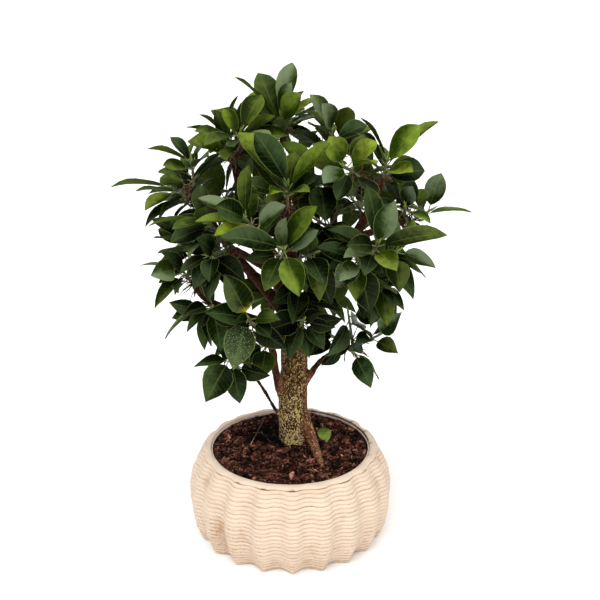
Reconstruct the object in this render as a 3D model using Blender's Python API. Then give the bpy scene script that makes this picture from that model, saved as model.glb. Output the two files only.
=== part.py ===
"""A Chinese banyan grown as a small indoor tree, in a fluted cord-wound pot.

Metres, +Z up. The origin is the middle of the pot's underside, -Y is the front.
Sizes below are in millimetres and are turned into metres by the constant MM.
"""
from math import cos, pi, radians, sin
from random import Random

import bmesh
import bpy
from mathutils import Matrix, Vector
from mathutils.bvhtree import BVHTree

MM = 0.001
UP = Vector((0, 0, 1))
FRONT_LIGHT = Vector((0.0, -0.85, 0.53))
CLEARANCE = 0.3
SHARP_ANGLE = radians(40)

# The pot: a round basket of wavy cords, its wall pressed into upright flutes
POT_HEIGHT = 90.0
POT_FLUTES = 20
FLUTE_PHASE = radians(2.8)
FLUTE_SHARPNESS = 1.2
STEPS_PER_FLUTE = 4
POT_PROFILE = [  # height, radius on a ridge, depth of the flute there
    (0.0, 90.0, 5.5),
    (4.0, 92.8, 6.0),
    (18.0, 98.4, 7.0),
    (36.0, 100.8, 7.5),
    (50.0, 101.0, 7.5),
    (66.0, 98.0, 7.0),
    (79.0, 92.0, 5.5),
    (86.0, 87.8, 3.4),
    (90.0, 85.0, 2.6),
]
POT_INSIDE = [  # height, radius of the hollow
    (4.0, 78.0),
    (18.0, 87.0),
    (40.0, 89.5),
    (62.0, 87.0),
    (82.0, 77.2),
    (91.0, 77.2),
]
INSIDE_STEPS = 40

# The plastic liner that keeps the cords dry, its pale lip just under the rim
LINER_FOOT = 4.3
LINER_TOP = 88.6
LINER_RADIUS_FOOT = 70.0
LINER_RADIUS_TOP = 76.8
LINER_WALL = 1.0

# The soil: coarse bark, mounded a little against the trunk
SOIL_LEVEL = 84.6
SOIL_MOUND = 2.6
MOUND_REACH = 70.0
SOIL_BUMP = 0.66
SOIL_SIDE_GAP = 0.42
SOIL_STEPS = 40
SOIL_RINGS = 6
RING_CROWDING = 1.1
HOLE_GAP = 0.4
TRUNK_FOOT = Vector((6, 22, 0))

# Wood, as x, y, z, radius along each limb
TRUNK = [
    (6, 22, 44, 11.0),
    (6, 22, 66, 15.5),
    (6, 22, 86, 17.6),
    (5, 22, 97, 16.6),
    (3, 21, 118, 14.9),
    (3, 20, 140, 14.2),
    (4, 19, 164, 13.3),
    (4, 18, 190, 12.8),
    (3, 15, 214, 10.6),
    (2, 12, 250, 7.8),
    (0, 12, 290, 6.2),
    (-2, 12, 330, 4.8),
    (-6, 12, 370, 3.4),
    (-7, 12, 388, 2.4),
]
SURFACE_ROOT = [
    (14, 16, 116, 5.0),
    (19, 6, 100, 6.4),
    (24, -5, 90, 5.4),
    (28, -20, 85.5, 4.4),
    (31, -34, 82, 3.4),
    (33, -43, 77, 2.2),
]
SIDE_STEM = [
    (-1, 19, 124, 8.0),
    (-9, 13, 145, 5.6),
    (-14, 7, 165, 3.9),
    (-16, 2, 187, 3.7),
    (-21, -6, 206, 3.5),
    (-27, -24, 222, 3.2),
    (-32, -48, 236, 2.8),
]
LIMBS = {
    "leader": TRUNK[7:],
    "side_stem": SIDE_STEM[3:],
    "low_left_twig": [
        (-6, 16, 110, 3.0),
        (-15, 10, 124, 2.2),
        (-26, -5, 153, 1.8),
        (-38, -24, 180, 1.7),
        (-46, -38, 188, 1.6),
    ],
    "low_right_twig": [
        (10, 18, 142, 5.0),
        (18, 16, 156, 3.6),
        (30, 5, 178, 2.9),
        (45, -8, 194, 2.6),
        (59, -20, 204, 2.2),
    ],
    "low_left": [
        (0, 16, 198, 7.0),
        (-25, -2, 220, 5.2),
        (-55, -18, 238, 4.2),
        (-76, -30, 255, 3.5),
        (-86, -36, 270, 2.9),
    ],
    "left": [
        (0, 14, 235, 6.5),
        (-22, 8, 275, 5.4),
        (-40, 2, 315, 4.5),
        (-45, 1, 350, 3.9),
        (-50, 3, 372, 3.0),
    ],
    "left_outer": [
        (-39, 3, 310, 4.0),
        (-62, -5, 328, 3.3),
        (-84, -13, 342, 2.7),
    ],
    "left_front": [
        (-21, 8, 272, 4.6),
        (-38, -20, 292, 3.8),
        (-48, -42, 306, 3.1),
    ],
    "right": [
        (3, 14, 225, 7.4),
        (25, 2, 255, 6.0),
        (45, -12, 285, 5.0),
        (61, -18, 315, 4.4),
        (76, -16, 343, 3.5),
        (82, -14, 358, 2.8),
    ],
    "right_outer": [
        (58, -17, 308, 4.0),
        (84, -12, 316, 3.2),
        (106, -7, 321, 2.6),
    ],
    "right_front": [
        (24, 3, 254, 5.0),
        (48, -24, 268, 4.0),
        (64, -46, 288, 3.3),
    ],
    "right_high": [
        (44, -11, 283, 4.4),
        (40, -6, 325, 3.7),
        (38, 2, 364, 3.0),
    ],
    "front": [
        (1, 13, 246, 6.2),
        (-4, -20, 273, 5.0),
        (-9, -52, 296, 4.1),
        (-8, -76, 309, 3.3),
    ],
    "front_high": [
        (-5, -22, 275, 4.4),
        (-3, -40, 318, 3.7),
        (-2, -52, 344, 3.0),
    ],
    "front_low": [
        (3, 14, 208, 5.0),
        (4, -10, 221, 3.8),
        (9, -30, 231, 3.0),
    ],
    "back": [
        (2, 17, 232, 7.4),
        (6, 44, 262, 6.0),
        (8, 68, 300, 5.0),
        (5, 82, 335, 4.0),
        (2, 86, 362, 3.0),
    ],
    "back_left": [
        (2, 18, 214, 7.0),
        (-28, 42, 244, 5.4),
        (-58, 58, 274, 4.4),
        (-76, 62, 302, 3.4),
    ],
    "back_right": [
        (3, 17, 220, 7.0),
        (30, 38, 250, 5.4),
        (58, 52, 280, 4.4),
        (76, 56, 308, 3.4),
    ],
}
BRANCHLET_RADIUS = 2.0
BRANCHLET_BEND = 0.45
DOWNHILL_PENALTY = 1.5
TWIG_RADIUS = 1.5
TWIG_LENGTH = 27.0
TWIG_SHARE = 0.75
TWIG_OUTWARD = 0.3
TWIG_RISE = 0.25
BUD_LENGTH = 9.0
BUD_TIP = 0.3
WOOD_MARGIN = 0.5
TWIG_MARGIN = 0.4

# Leaves
PETIOLE_LENGTH = 7.0
PETIOLE_HALF = 0.75
PETIOLE_KEEL = 0.8
LONGEST_NECK = 0.3
BLADE_KEEL = 0.4
BLADE_RIB = [(0.29, 0.94), (0.68, 0.84)]
BLADE_ARCH = 0.10
BLADE_FOLD = 0.16
LEAF_MARGIN = 0.55
BLADE_MARGIN = 0.35

# How leaves take their places along a twig
KNOWN_TRIES = 9
KNOWN_SHIFT = 5.0
KNOWN_FIRST = 1.5
KNOWN_PITCH = 3.2
RULED_TRIES = 14
RULED_FIRST = 2.0
RULED_STEM = 8.0
SHRINK = 0.02
GOLDEN_ANGLE = radians(137.5)
GOLDEN_SWAY = 0.5
SPREAD_OLD = 82.0
SPREAD_YOUNG = 34.0
SPREAD_SWAY = 12.0
LENGTH_SPAN = (0.78, 1.12)
PETIOLE_SHOWN = 0.4
WIDTH_SPAN = (0.46, 0.58)
HANG_SPAN = (0.5, 1.2)
OUTWARD_PULL = 0.35
SKYWARD_PULL = 0.7
NORMAL_SWAY = 0.4
FIRST_SEED = 1000
CROWN_CENTRE = Vector((-2, 6, 305))
CROWN_REACH = Vector((145, 142, 134))
CROWN_HEART = Vector((0, 14, 270))

# The small fresh leaf that lies on the mulch
FALLEN_FOOT = (33, 46)
FALLEN_TIP = (36, 10)
FALLEN_WIDTH = 16.0
FALLEN_LIFT = 1.15
FALLEN_SLOPE = 0.4
FALLEN_UPSIDE = Vector((-0.1, -0.35, 1.0))

# Each spray: where its twig ends, how many leaves follow the rule, their length
# and how far they hang; then the leaves whose place is known, each as the reach
# of its tip from the twig's end, its width and how far it is turned from the front
SPRAYS = {
    "crown": ((-8, 12, 417), 4, 46, 0.0, [
        (11, 16, 43, 19, 10), (10, -4, 30, 16, 25), (19, -20, 22, 22, 5),
        (-21, 8, 36, 24, 5), (-41, -14, 40, 18, 78)]),
    "crown_left": ((-42, -28, 408), 4, 44, 0.1, [
        (18, 16, 30, 20, 15), (-31, -12, -8, 18, 40), (-5, -30, -6, 14, 40)]),
    "crown_front": ((-1, -75, 373), 2, 42, 0.2, [
        (-27, 3, 44, 24, 10), (-42, 26, 40, 22, 20), (34, 3, 35, 18, 35),
        (-14, -27, 0, 14, 30), (17, -27, 2, 12, 30)]),
    "front_left": ((-37, -92, 350), 2, 40, 0.3, [
        (3, 4, 43, 14, 25), (-22, -18, 15, 21, 5), (-39, 12, 14, 16, 30),
        (-40, -8, 0, 16, 40), (-24, -27, -6, 18, 25)]),
    "front_mid": ((-4, -108, 328), 2, 42, 0.4, [
        (-58, -4, 18, 26, 20), (12, -12, -38, 22, 0), (-17, -4, -36, 20, 5),
        (26, 8, 34, 22, 30)]),
    "left_high": ((-57, 5, 397), 3, 40, 0.1, [
        (-22, -5, 22, 16, 75), (-34, -10, 12, 16, 80), (10, 15, 35, 14, 70),
        (-9, 2, 30, 16, 15), (-28, -18, 2, 18, 15)]),
    "left_out": ((-87, -8, 378), 4, 38, 0.2, [
        (-38, -12, 15, 18, 82), (-20, -2, 22, 16, 40), (-24, -14, 0, 14, 20)]),
    "left_tip": ((-105, -22, 358), 2, 40, 0.3, [
        (-52, -14, 5, 18, 82), (4, -22, 19, 22, 5), (-22, -18, -16, 18, 35),
        (-34, 12, -6, 14, 78)]),
    "left_mid": ((-73, -45, 335), 3, 44, 0.4, [
        (-51, -7, -3, 16, 80), (-30, -18, 0, 18, 40), (-31, -14, -17, 20, 10)]),
    "right_high": ((39, 14, 402), 3, 42, 0.1, [
        (-20, 6, 31, 18, 30), (-9, -16, 26, 20, 30), (10, -16, 24, 24, 5),
        (31, -4, 5, 18, 20)]),
    "right_front": ((46, -58, 385), 3, 40, 0.3, [
        (-13, -10, 27, 21, 0), (28, 6, 20, 18, 20), (29, -12, 8, 18, 70),
        (-28, -8, 4, 18, 15)]),
    "right_crown": ((87, -12, 380), 3, 42, 0.2, [
        (-24, 4, 38, 18, 75), (27, -4, 32, 22, 10), (45, 12, 33, 16, 40),
        (20, -28, -4, 18, 25), (33, -8, -8, 24, 5)]),
    "right_tip": ((128, -2, 330), 1, 36, 0.3, [
        (9, 0, 35, 20, 10), (-17, -16, 22, 22, 25), (39, -2, 0, 18, 68)]),
    "right_under": ((103, -20, 339), 3, 38, 0.4, [
        (6, -20, 22, 18, 20), (24, -6, -12, 16, 40), (8, 12, 26, 20, 15)]),
    "right_mid": ((75, -84, 325), 1, 42, 0.4, [
        (-10, 4, 48, 18, 15), (12, -4, 43, 22, 5), (58, 0, 8, 22, 30),
        (14, -20, -18, 20, 10), (-40, 6, 10, 18, 25), (-30, -14, -8, 16, 30)]),
    "right_low": ((94, -54, 308), 3, 44, 0.6, [
        (34, -6, -13, 18, 25), (2, -18, -32, 22, 10), (17, 2, -46, 18, 20),
        (36, 8, -38, 16, 40)]),
    "mid_right": ((58, -78, 309), 1, 42, 0.6, [
        (-2, -14, -34, 18, 5), (-20, -16, -20, 22, 5), (12, 4, -52, 26, 0)]),
    "mid_hollow": ((22, -70, 312), 2, 42, 0.6, [
        (4, -14, -40, 18, 10), (15, 8, -52, 24, 5), (-15, -14, -22, 16, 20)]),
    "right_hang": ((83, -44, 273), 3, 42, 0.8, [
        (4, -16, -34, 18, 5), (20, -8, -20, 16, 25), (-16, 8, -36, 20, 20)]),
    "low_right": ((81, -34, 220), 1, 34, 0.5, [
        (20, -8, 26, 19, 5), (-22, -16, 0, 16, 30), (18, -14, -12, 17, 15)]),
    "low_right_in": ((58, -38, 206), 1, 34, 0.8, [
        (17, -12, -32, 20, 5), (26, 4, -30, 14, 70)]),
    "trunk_leaf": ((42, -24, 214), 3, 38, 0.8, [
        (-27, -16, -12, 20, 25), (-24, 8, 4, 20, 20)]),
    "front_low": ((13, -52, 244), 3, 40, 0.8, [
        (-35, -10, -8, 26, 10), (-15, -6, -38, 18, 20), (18, -6, -28, 18, 20)]),
    "left_hang": ((-36, -86, 259), 1, 40, 0.9, [
        (-14, -10, -46, 28, 5), (-20, 4, 38, 25, 10), (28, -6, 0, 18, 30),
        (20, 2, -20, 18, 30)]),
    "left_hang_in": ((-21, -40, 215), 1, 36, 0.9, [
        (-6, -14, -30, 22, 0), (20, -12, 17, 18, 25)]),
    "left_low": ((-54, -64, 211), 1, 38, 0.8, [
        (-22, -14, -37, 28, 0), (8, 4, -48, 20, 5), (-34, 0, -10, 16, 40),
        (-16, -16, 20, 16, 30)]),
    "left_side": ((-68, -60, 260), 2, 40, 0.8, [
        (7, -12, -40, 18, 5), (-26, 4, -25, 16, 40), (-15, 18, -26, 16, 20)]),
    "left_drop": ((-82, -52, 254), 2, 40, 0.7, [
        (-31, -8, -26, 16, 70), (24, -22, 4, 20, 20)]),
    "left_reach": ((-98, -40, 289), 2, 34, 0.6, [
        (-24, -16, -2, 22, 0), (-36, 0, 3, 14, 80), (-24, -8, -36, 18, 35),
        (-14, -10, 20, 18, 40)]),
    "left_dark": ((-70, -66, 309), 2, 40, 0.6, [
        (33, -16, -22, 22, 15), (-14, 2, -32, 18, 20), (-8, -16, 20, 20, 20)]),
    "back_top": ((2, 60, 408), 9, 44, 0.1, []),
    "back_high_left": ((-50, 62, 382), 9, 44, 0.2, []),
    "back_high_right": ((58, 62, 378), 9, 44, 0.2, []),
    "back_left_out": ((-98, 44, 338), 9, 44, 0.3, []),
    "back_right_out": ((104, 44, 326), 9, 44, 0.3, []),
    "back_mid": ((4, 104, 352), 9, 44, 0.3, []),
    "back_mid_left": ((-62, 92, 322), 9, 44, 0.4, []),
    "back_mid_right": ((62, 90, 318), 9, 44, 0.4, []),
    "back_low": ((2, 98, 282), 9, 44, 0.6, []),
    "back_low_left": ((-80, 66, 268), 9, 44, 0.7, []),
    "back_low_right": ((80, 62, 262), 9, 44, 0.7, []),
    "back_hang": ((-24, 66, 236), 8, 42, 0.8, []),
    "back_hang_right": ((34, 62, 228), 8, 42, 0.8, []),
    "inner_left": ((-34, 34, 348), 7, 44, 0.3, []),
    "inner_right": ((66, 24, 352), 7, 44, 0.3, []),
    "inner_high": ((22, -30, 366), 6, 46, 0.4, []),
    "inner_high_left": ((-45, 18, 412), 5, 42, 0.1, []),
    "inner_mid": ((24, -24, 328), 6, 46, 0.5, []),
    "inner_mid_left": ((-26, -34, 350), 6, 44, 0.4, []),
    "inner_far_left": ((-86, -6, 308), 6, 44, 0.5, []),
    "inner_low": ((10, -34, 268), 5, 42, 0.7, []),
    "inner_low_left": ((-50, -36, 226), 5, 44, 0.8, []),
    "inner_low_right": ((54, -24, 238), 6, 44, 0.8, []),
}

COLOURS = {  # base colour and roughness of each finish
    "cord": ((0.86, 0.74, 0.61), 0.62),
    "liner": ((0.80, 0.72, 0.66), 0.40),
    "soil": ((0.058, 0.030, 0.020), 0.95),
    "bark": ((0.200, 0.130, 0.062), 0.80),
    "leaf": ((0.030, 0.085, 0.022), 0.35),
    "young_leaf": ((0.180, 0.330, 0.035), 0.40),
}


def finish(name, piece):
    """A Principled material in one of the finishes, for one piece."""
    colour, roughness = COLOURS[name]
    material = bpy.data.materials.new(f"{name}.{piece}")
    material.use_nodes = True
    shader = material.node_tree.nodes["Principled BSDF"]
    shader.inputs["Base Color"].default_value = (*colour, 1.0)
    shader.inputs["Roughness"].default_value = roughness
    shader.inputs["Metallic"].default_value = 0.0
    return material


def place_object(name, mesh, finish_name=None):
    """Link a mesh as an object of its own, with a material of its own."""
    thing = bpy.data.objects.new(name, mesh)
    bpy.context.scene.collection.objects.link(thing)
    if finish_name:
        mesh.materials.append(finish(finish_name, name))
    return thing


def mesh_from(bm, name):
    """Close a bmesh into a mesh whose faces point out."""
    bmesh.ops.recalc_face_normals(bm, faces=bm.faces)
    mesh = bpy.data.meshes.new(name)
    bm.to_mesh(mesh)
    bm.free()
    return mesh


def combine(target, tools, operation):
    """Boolean a list of objects into the target, apply it and drop them."""
    collection = bpy.data.collections.new("tools")
    bpy.context.scene.collection.children.link(collection)
    for tool in tools:
        for owner in list(tool.users_collection):
            owner.objects.unlink(tool)
        collection.objects.link(tool)
    modifier = target.modifiers.new("combine", "BOOLEAN")
    modifier.operation = operation
    modifier.solver = "EXACT"
    modifier.operand_type = "COLLECTION"
    modifier.collection = collection
    bpy.context.view_layer.update()
    graph = bpy.context.evaluated_depsgraph_get()
    mesh = bpy.data.meshes.new_from_object(target.evaluated_get(graph))
    target.modifiers.clear()
    target.data = mesh
    for tool in tools:
        bpy.data.objects.remove(tool)
    bpy.data.collections.remove(collection)
    return target


def turned(profile, steps):
    """Spin a profile of (height, radius) pairs that starts and ends on the axis."""
    bm = bmesh.new()
    points = [bm.verts.new(Vector((0, -r, z)) * MM) for z, r in profile]
    edges = [bm.edges.new(pair) for pair in zip(points, points[1:])]
    bmesh.ops.spin(
        bm, geom=points + edges, cent=(0, 0, 0), axis=(0, 0, 1),
        angle=2 * pi, steps=steps, use_merge=True)
    bmesh.ops.remove_doubles(bm, verts=bm.verts, dist=1e-6)
    return bm


def smooth_route(points, steps):
    """A Catmull-Rom route through hand-set points, each (x, y, z, radius)."""
    rows = [Vector(p) for p in points]
    rows = [rows[0] * 2 - rows[1]] + rows + [rows[-1] * 2 - rows[-2]]
    route = []
    for a, b, c, d in zip(rows, rows[1:], rows[2:], rows[3:]):
        for step in range(steps):
            t = step / steps
            route.append(0.5 * (
                b * 2 + (c - a) * t
                + (a * 2 - b * 5 + c * 4 - d) * t ** 2
                + (b * 3 - a - c * 3 + d) * t ** 3))
    return route + [rows[-2]]


def tube(route, sides, grow=0.0):
    """A closed tube along (x, y, z, radius) points; sides is 4, 6, 8 or more."""
    curve = bpy.data.curves.new("tube", "CURVE")
    curve.dimensions = "3D"
    curve.bevel_depth = MM
    curve.bevel_resolution = (sides - 4) // 2
    curve.use_fill_caps = True
    spline = curve.splines.new("POLY")
    spline.points.add(len(route) - 1)
    for point, row in zip(spline.points, route):
        point.co = (*(Vector(row[:3]) * MM), 1.0)
        point.radius = row[3] + grow
    holder = bpy.data.objects.new("tube", curve)
    mesh = bpy.data.meshes.new_from_object(holder)
    bpy.data.objects.remove(holder)
    bpy.data.curves.remove(curve)
    bm = bmesh.new()
    bm.from_mesh(mesh)
    bpy.data.meshes.remove(mesh)
    bmesh.ops.remove_doubles(bm, verts=bm.verts, dist=1e-6)
    return bm


def tree_of(bm):
    """A collision tree of a bmesh, with its middle and reach for quick tests."""
    bm.verts.ensure_lookup_table()
    middle = sum((v.co for v in bm.verts), Vector()) / len(bm.verts)
    reach = max((v.co - middle).length for v in bm.verts)
    tree = BVHTree.FromBMesh(bm)
    bm.free()
    return middle, reach, tree


def touches(a, b):
    """Whether two such trees overlap."""
    if (a[0] - b[0]).length > a[1] + b[1]:
        return False
    return bool(a[2].overlap(b[2]))


def soil_height(x, y):
    """Height of the bark mulch at a place, in millimetres."""
    from_trunk = ((x - TRUNK_FOOT.x) ** 2 + (y - TRUNK_FOOT.y) ** 2) ** 0.5
    mound = SOIL_MOUND * max(0.0, 1.0 - from_trunk / MOUND_REACH)
    lumps = sin(x * 0.31 + 1.3) * cos(y * 0.27) + 0.6 * sin(x * 0.13 - y * 0.21)
    return SOIL_LEVEL + mound + SOIL_BUMP * lumps


def make_pot():
    """The fluted basket: a turned wall pressed in along each flute."""
    outline = [(0.0, 0.0)] + [(z, r) for z, r, depth in POT_PROFILE]
    outline += [(POT_HEIGHT, 0.0)]
    bm = turned(outline, POT_FLUTES * STEPS_PER_FLUTE)
    depth_at = {round(z, 3): depth for z, r, depth in POT_PROFILE}
    for vert in bm.verts:
        radius = vert.co.xy.length / MM
        if radius < 1.0:
            continue
        angle = Vector((0, -1)).angle_signed(vert.co.xy) + FLUTE_PHASE
        valley = (0.5 - 0.5 * cos(POT_FLUTES * angle)) ** FLUTE_SHARPNESS
        depth = depth_at[round(vert.co.z / MM, 3)]
        vert.co.xy *= (radius - depth * valley) / radius
    pot = place_object("pot", mesh_from(bm, "pot"), "cord")
    hollow = [(POT_INSIDE[0][0], 0.0)] + POT_INSIDE + [(POT_INSIDE[-1][0], 0.0)]
    cutter = place_object("hollow", mesh_from(turned(hollow, INSIDE_STEPS), "hollow"))
    return combine(pot, [cutter], "DIFFERENCE")


def make_liner():
    """A thin tapered cup that stands in the basket."""
    floor = LINER_FOOT + LINER_WALL
    profile = [
        (LINER_FOOT, 0.0),
        (LINER_FOOT, LINER_RADIUS_FOOT),
        (LINER_TOP, LINER_RADIUS_TOP),
        (LINER_TOP, LINER_RADIUS_TOP - LINER_WALL),
        (floor, LINER_RADIUS_FOOT - LINER_WALL),
        (floor, 0.0),
    ]
    return place_object("liner", mesh_from(turned(profile, INSIDE_STEPS), "liner"), "liner")


def make_soil(cutters):
    """Mulch with a rough top, and plain holes where the wood stands in it."""
    slope = (LINER_RADIUS_TOP - LINER_RADIUS_FOOT) / (LINER_TOP - LINER_FOOT)
    foot = LINER_FOOT + LINER_WALL + CLEARANCE
    edge_foot = LINER_RADIUS_FOOT - LINER_WALL - SOIL_SIDE_GAP
    edge_top = edge_foot + slope * (SOIL_LEVEL - LINER_FOOT)
    shares = [1 - (k / SOIL_RINGS) ** RING_CROWDING for k in range(SOIL_RINGS)]
    rings = [(SOIL_LEVEL, edge_top * share) for share in shares]
    profile = [(foot, 0.0), (foot, edge_foot)] + rings + [(SOIL_LEVEL, 0.0)]
    bm = turned(profile, SOIL_STEPS)
    for vert in bm.verts:
        on_rim = vert.co.xy.length / MM > edge_top - 1.0
        if not on_rim and vert.co.z > foot * MM * 1.5:
            vert.co.z = soil_height(vert.co.x / MM, vert.co.y / MM) * MM
    soil = place_object("soil", mesh_from(bm, "soil"), "soil")
    return combine(soil, cutters, "DIFFERENCE")


def leaf_line(foot, tip, normal):
    """The arched midrib of a leaf: foot, control point, tip and upper side."""
    axis = tip - foot
    side = axis.cross(normal)
    up = side.cross(axis).normalized()
    middle = (foot + tip) / 2 + up * axis.length * BLADE_ARCH
    return foot, middle, tip, up


def leaf_place(line, t):
    """Point, sideways direction and upper side of a leaf at t from foot to tip."""
    foot, middle, tip, up = line
    point = foot * (1 - t) ** 2 + middle * (2 * t * (1 - t)) + tip * t ** 2
    along = (middle - foot) * (1 - t) + (tip - middle) * t
    side = along.cross(up).normalized()
    return point, side, side.cross(along).normalized()


def leaf_solid(bm, line, width, grow=0.0, petiole=True):
    """One leaf: a three-sided stalk that opens to a keeled blade and ends in a tip."""
    length = (line[2] - line[0]).length
    neck = min(PETIOLE_LENGTH / length, LONGEST_NECK)
    stations = [(0.0, PETIOLE_HALF, 0.0)] if petiole else []
    stations.append((neck, PETIOLE_HALF, 0.0))
    for share, full in BLADE_RIB:
        stations.append((neck + (1 - neck) * share, full * width / 2, BLADE_FOLD))
    rings = []
    for t, half, fold in stations:
        point, side, up = leaf_place(line, t)
        margin = up * (fold * half + grow)
        reach = half + grow
        keel = (BLADE_KEEL if fold else PETIOLE_KEEL) + grow
        ring = [point - side * reach + margin, point + side * reach + margin, point - up * keel]
        rings.append([bm.verts.new(p * MM) for p in ring])
    for low, high in zip(rings, rings[1:]):
        for k in range(3):
            bm.faces.new((low[k], low[k - 2], high[k - 2], high[k]))
    end = bm.verts.new((line[2] + (line[2] - line[1]).normalized() * grow) * MM)
    for k in range(3):
        bm.faces.new((rings[-1][k], rings[-1][k - 2], end))
    bm.faces.new(rings[0][::-1])


def leaf_trees(line, width):
    """Collision trees of a slightly swollen leaf: all of it, and its blade alone."""
    whole = bmesh.new()
    leaf_solid(whole, line, width, grow=LEAF_MARGIN)
    blade = bmesh.new()
    leaf_solid(blade, line, width, grow=BLADE_MARGIN, petiole=False)
    return tree_of(whole), tree_of(blade)


def facing(axis, turn):
    """Upper side of a leaf that is turned by some degrees from the front light."""
    flat = FRONT_LIGHT - axis * (FRONT_LIGHT.dot(axis) / axis.length_squared)
    flat.normalize()
    both = [Matrix.Rotation(radians(s * turn), 3, axis) @ flat for s in (1, -1)]
    return max(both, key=lambda n: n.z)


def known_leaf(end, direction, index, row, attempt):
    """A leaf set by its tip; each attempt shifts it a little in depth and length."""
    dx, dy, dz, width, turn = row
    shift = ((attempt + 1) // 2) * (KNOWN_SHIFT if attempt % 2 else -KNOWN_SHIFT)
    shrink = 1.0 - SHRINK * attempt
    tip = end + Vector((dx, dy + shift, dz)) * shrink
    foot = end - direction * (KNOWN_FIRST + KNOWN_PITCH * index)
    return leaf_line(foot, tip, facing(tip - foot, turn)), width * shrink


def ruled_leaf(end, direction, index, count, length, hang, rng):
    """A leaf set by the golden angle round its twig, then bent out and down."""
    share = (index + 0.5) / count
    spread = radians(SPREAD_OLD - SPREAD_YOUNG * (1 - share) + rng.uniform(-SPREAD_SWAY, SPREAD_SWAY))
    foot = end - direction * (RULED_FIRST + (TWIG_LENGTH - RULED_STEM) * share)
    across = direction.orthogonal().normalized()
    round_twig = GOLDEN_ANGLE * index + rng.uniform(-GOLDEN_SWAY, GOLDEN_SWAY)
    across.rotate(Matrix.Rotation(round_twig, 3, direction))
    way = direction * cos(spread) + across * sin(spread)
    outward = (end - CROWN_HEART).normalized()
    way = (way + outward * OUTWARD_PULL - UP * hang * rng.uniform(*HANG_SPAN)).normalized()
    reach = length * rng.uniform(*LENGTH_SPAN)
    tip = foot + way * (reach + PETIOLE_LENGTH * PETIOLE_SHOWN)
    sway = Vector([rng.uniform(-NORMAL_SWAY, NORMAL_SWAY) for k in range(3)])
    normal = UP * SKYWARD_PULL + outward + sway
    return leaf_line(foot, tip, normal), reach * rng.uniform(*WIDTH_SPAN)


def in_crown(point):
    """Whether a leaf tip lies inside the tree's rounded crown."""
    away = point - CROWN_CENTRE
    share = Vector((away.x / CROWN_REACH.x, away.y / CROWN_REACH.y, away.z / CROWN_REACH.z))
    return share.length < 1.0


def nearest_wood(anchors, end):
    """The limb point a branchlet grows from: near its end, and rather below it."""
    def cost(point):
        downhill = max(0.0, point.z - end.z + 8.0)
        return (point.xyz - end).length + downhill * DOWNHILL_PENALTY
    return min(anchors, key=cost)


def plan_wood():
    """Every tube of wood, and for each spray its twig's route, end and direction."""
    routes = [(TRUNK, 10), (SURFACE_ROOT, 6), (SIDE_STEM, 6)]
    for name, points in LIMBS.items():
        if name in ("leader", "side_stem"):
            continue
        routes.append((points, 6 if points[0][3] > 4 else 4))
    anchors = [p for points in LIMBS.values() for p in smooth_route(points, 4)[2:]]
    twigs = {}
    for name, spray in SPRAYS.items():
        end = Vector(spray[0])
        near = nearest_wood(anchors, end)
        start = near.xyz
        out = (end - start).normalized()
        flat_out = Vector((out.x, out.y, 0))
        direction = (out + flat_out * TWIG_OUTWARD + UP * TWIG_RISE).normalized()
        base = end - direction * min(TWIG_LENGTH, (end - start).length * TWIG_SHARE)
        bend = base - direction * (base - start).length * BRANCHLET_BEND
        middle = (start + bend * 2 + base) / 4
        radius = min(BRANCHLET_RADIUS, near.w * 0.8)
        branchlet = [
            (*start, radius),
            (*middle, radius * 0.92),
            (*(base - direction * 2.5), TWIG_RADIUS),
            (*base, TWIG_RADIUS),
        ]
        routes.append((branchlet, 4))
        twig = [
            (*(base + direction * CLEARANCE), TWIG_RADIUS),
            (*end, TWIG_RADIUS * 0.75),
            (*(end + direction * BUD_LENGTH), BUD_TIP),
        ]
        twigs[name] = (twig, end, direction)
    return routes, twigs


def plan_leaves(wood_trees, twigs):
    """Every leaf as its midrib line and width, none crossing another piece."""
    twig_trees = {name: tree_of(tube(twig[0], 4, TWIG_MARGIN)) for name, twig in twigs.items()}
    placed = []
    leaves = {name: [] for name in SPRAYS}

    def settle(name, line, width):
        """Keep the leaf if it is clear of wood, twigs and the leaves already there."""
        whole, blade = leaf_trees(line, width)
        if any(touches(whole, wood) for wood in wood_trees):
            return False
        for other, tree in twig_trees.items():
            if touches(blade if other == name else whole, tree):
                return False
        for other, other_whole, other_blade in placed:
            mine, theirs = (blade, other_blade) if other == name else (whole, other_whole)
            if touches(mine, theirs):
                return False
        placed.append((name, whole, blade))
        leaves[name].append((line, width))
        return True

    for name, spray in SPRAYS.items():
        end, direction = twigs[name][1:]
        for index, row in enumerate(spray[4]):
            for attempt in range(KNOWN_TRIES):
                if settle(name, *known_leaf(end, direction, index, row, attempt)):
                    break
    for order, (name, spray) in enumerate(SPRAYS.items()):
        count, length, hang, known = spray[1:]
        end, direction = twigs[name][1:]
        rng = Random(FIRST_SEED + order)
        total = count + len(known)
        for index in range(len(known), total):
            for attempt in range(RULED_TRIES):
                size = length * (1 - SHRINK * attempt)
                line, width = ruled_leaf(end, direction, index, total, size, hang, rng)
                if in_crown(line[2]) and settle(name, line, width):
                    break
    print("leaves", len(placed))
    return leaves


def make_trunk(routes):
    """Trunk, root, limbs and branchlets, grown together as one solid."""
    pieces = [place_object("wood", mesh_from(tube(route, sides), "wood")) for route, sides in routes]
    trunk = combine(pieces[0], pieces[1:], "UNION")
    trunk.name = "trunk"
    trunk.data.materials.clear()
    trunk.data.materials.append(finish("bark", "trunk"))
    return trunk


def make_spray(name, twig, leaves):
    """A leafy spray: its twig with every leaf stalk sunk into it."""
    spray = place_object("spray_" + name, mesh_from(tube(twig, 4), "twig"), "leaf")
    pieces = []
    for line, width in leaves:
        bm = bmesh.new()
        leaf_solid(bm, line, width)
        pieces.append(place_object("leaf", mesh_from(bm, "leaf")))
    return combine(spray, pieces, "UNION")


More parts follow.
